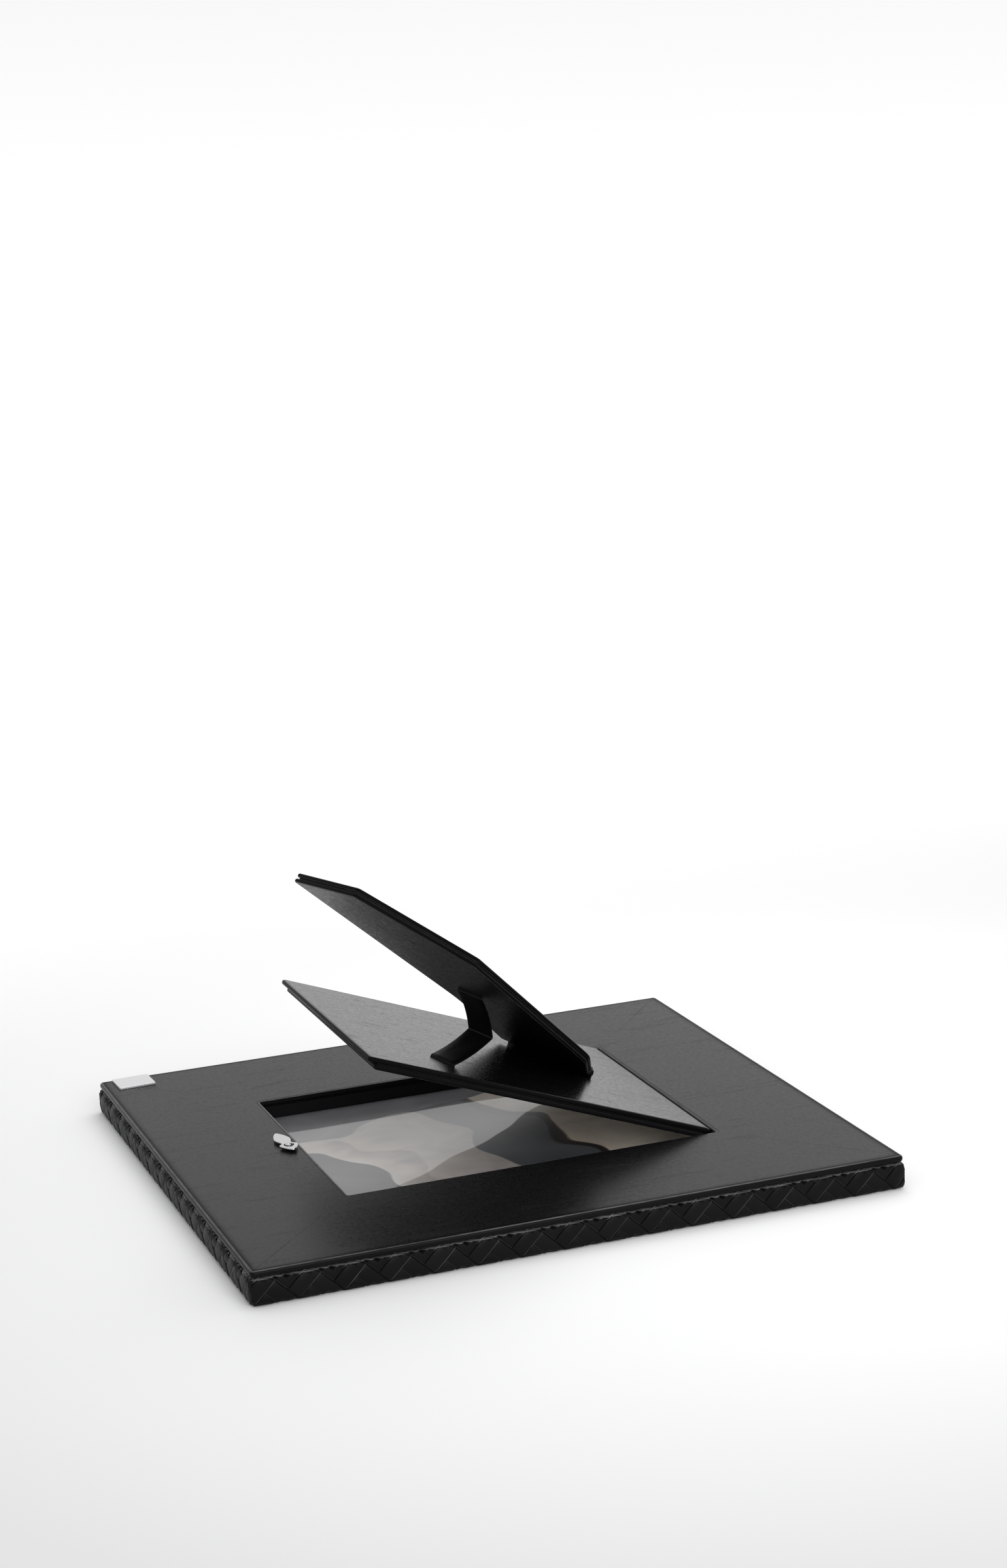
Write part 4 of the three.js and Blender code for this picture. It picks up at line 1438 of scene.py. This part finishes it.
@dataclass
class Studio:
    """Camera, lamps, pale floor and white surroundings."""

    camera_place: Triple = (-0.6055, -1.7284, 0.6549)
    camera_right: Triple = (0.9347, -0.35278, -0.04343)
    camera_up: Triple = (0.11618, 0.18774, 0.97532)
    camera_back: Triple = (-0.33592, -0.91668, 0.21646)
    focal_share: float = 2.85798
    sensor: float = 36.0
    fill: float = 0.6
    above: float = 0.78
    rightward: float = 1.22
    horizon: float = 0.935
    floor_radius: float = 12.0
    floor_drop: float = 0.0002
    floor_colour: Triple = (0.95, 0.95, 0.955)
    floor_fade: Pair = (0.28, 0.75)
    brightest: Triple = (0.25, 0.05, 0.0)
    loss: float = 0.23
    loss_from: Pair = (0.36, 0.8)
    loss_until: Pair = (0.9, 2.2)
    loss_behind: Pair = (0.05, 0.7)

    def camera(self) -> None:
        """Place the camera at the photograph's viewpoint."""
        data = bpy.data.cameras.new("viewpoint")
        data.sensor_fit = "HORIZONTAL"
        data.sensor_width = self.sensor
        data.lens = self.focal_share * self.sensor
        data.clip_end = 50.0
        camera = add_object("viewpoint", data)
        axes = Matrix((self.camera_right, self.camera_up, self.camera_back)).transposed()
        camera.matrix_world = Matrix.Translation(self.camera_place) @ axes.to_4x4()
        bpy.context.scene.camera = camera

    def lamp(self, name: str, place: Triple, size: Pair, power: float) -> None:
        """Hang a soft rectangular lamp that faces the frame.

        Args:
            name: Its name.
            place: Where it hangs.
            size: Its width and height.
            power: Its power in watts.
        """
        data = bpy.data.lights.new(name, "AREA")
        data.shape = "RECTANGLE"
        data.size, data.size_y = size
        data.energy = power
        aim = (-Vector(place)).to_track_quat("-Z", "Y")
        add_object(name, data).matrix_world = Matrix.Translation(place) @ aim.to_matrix().to_4x4()

    def world(self) -> None:
        """Surround the scene with white, dimmer above for what lights the object."""
        world = bpy.data.worlds.new("studio")
        bpy.context.scene.world = world
        world.use_nodes = True
        graph = Graph(world.node_tree, "Generated")
        rays = graph.node("LightPath").outputs
        way = graph.axes(graph.where)
        dome = graph.remap(way["Z"], (0.28, 0.5), (1.0, self.fill), smooth=True)
        height = graph.remap(way["Z"], (0.25, 0.4), (1.0, self.above), smooth=True)
        sideways = graph.remap(way["X"], (0.22, 0.46), (1.0, self.rightward))
        backdrop = graph.remap(way["Z"], (0.0, 0.06), (1.0, self.horizon))
        level = graph.mix(rays["Is Glossy Ray"], dome, graph.calc("MULTIPLY", height, sideways))
        seen = graph.mix(rays["Is Camera Ray"], level, backdrop)
        graph.feed(graph.tree.nodes["Background"].inputs, {"Strength": seen, "Color": (1.0, 1.0, 1.0, 1.0)})

    def floor(self) -> None:
        """Lay the pale floor, which fades into the white surroundings."""
        bm = bmesh.new()
        bmesh.ops.create_circle(bm, cap_ends=True, segments=96, radius=self.floor_radius)
        mesh = bpy.data.meshes.new("floor")
        bm.to_mesh(mesh)
        bm.free()
        floor = add_object("floor", mesh)
        floor.location.z = -self.floor_drop
        material = bpy.data.materials.new("floor white")
        material.use_nodes = True
        graph = Graph(material.node_tree, "Object")
        nodes = graph.tree.nodes
        # Painted shade: the floor's colour and its glow darken towards the viewer and the left.
        floor_shade_level = self.painted_floor_shade(graph)
        graph.feed(nodes["Principled BSDF"].inputs, {
            "Roughness": 0.7, "Specular IOR Level": 0.2,
            "Base Color": graph.vector("SCALE", self.floor_colour, Scale=floor_shade_level)})
        fade = graph.remap(graph.vector("LENGTH", graph.where, out="Value"), self.floor_fade, smooth=True)
        glow = graph.value("Emission", Strength=floor_shade_level)
        surface = graph.value("MixShader", fade, nodes["Principled BSDF"].outputs["BSDF"], glow)
        graph.feed(nodes["Material Output"].inputs, {"Surface": surface})
        mesh.materials.append(material)

    def painted_floor_shade(self, graph: Graph) -> Socket:
        """Paint shade on the floor: it darkens a little towards the viewer and the left, in its colour and its glow.

        Args:
            graph: The floor's nodes.

        Returns:
            The floor's level, one where it is brightest.
        """
        away = graph.vector("LENGTH", graph.vector("SUBTRACT", graph.where, self.brightest), out="Value")
        lost = graph.remap(away, self.loss_from, (0.0, self.loss))
        front = graph.remap(graph.axes(graph.where)["Y"], self.loss_behind, (1.0, 0.0), smooth=True)
        nearby = graph.remap(away, self.loss_until, (1.0, 0.0), smooth=True)
        return graph.calc("SUBTRACT", 1.0, graph.calc("MULTIPLY", graph.calc("MULTIPLY", lost, front), nearby))

    def build(self) -> None:
        """Set up the studio."""
        self.camera()
        self.world()
        self.floor()
        self.lamp("top softbox", (0.5, 0.6, 1.9), (1.6, 1.6), 14.0)
        self.lamp("front softbox", (0.1, -2.3, 1.25), (1.5, 1.2), 28.0)
        bpy.context.scene.view_settings.view_transform = "Standard"


def main() -> None:
    """Build the studio and every sub-assembly."""
    logging.basicConfig(level=logging.INFO, format="%(name)s: %(message)s")
    Studio().build()
    for assembly in (
        PlaitedSides(), BackBoard(), PictureStack(), CornerPlate(), TurnButton(), BackPanel(), EaselLeg(), LegStrap(),
    ):
        LOG.info("building %s", type(assembly).__name__)
        assembly.build()


if __name__ == "__main__":
    main()
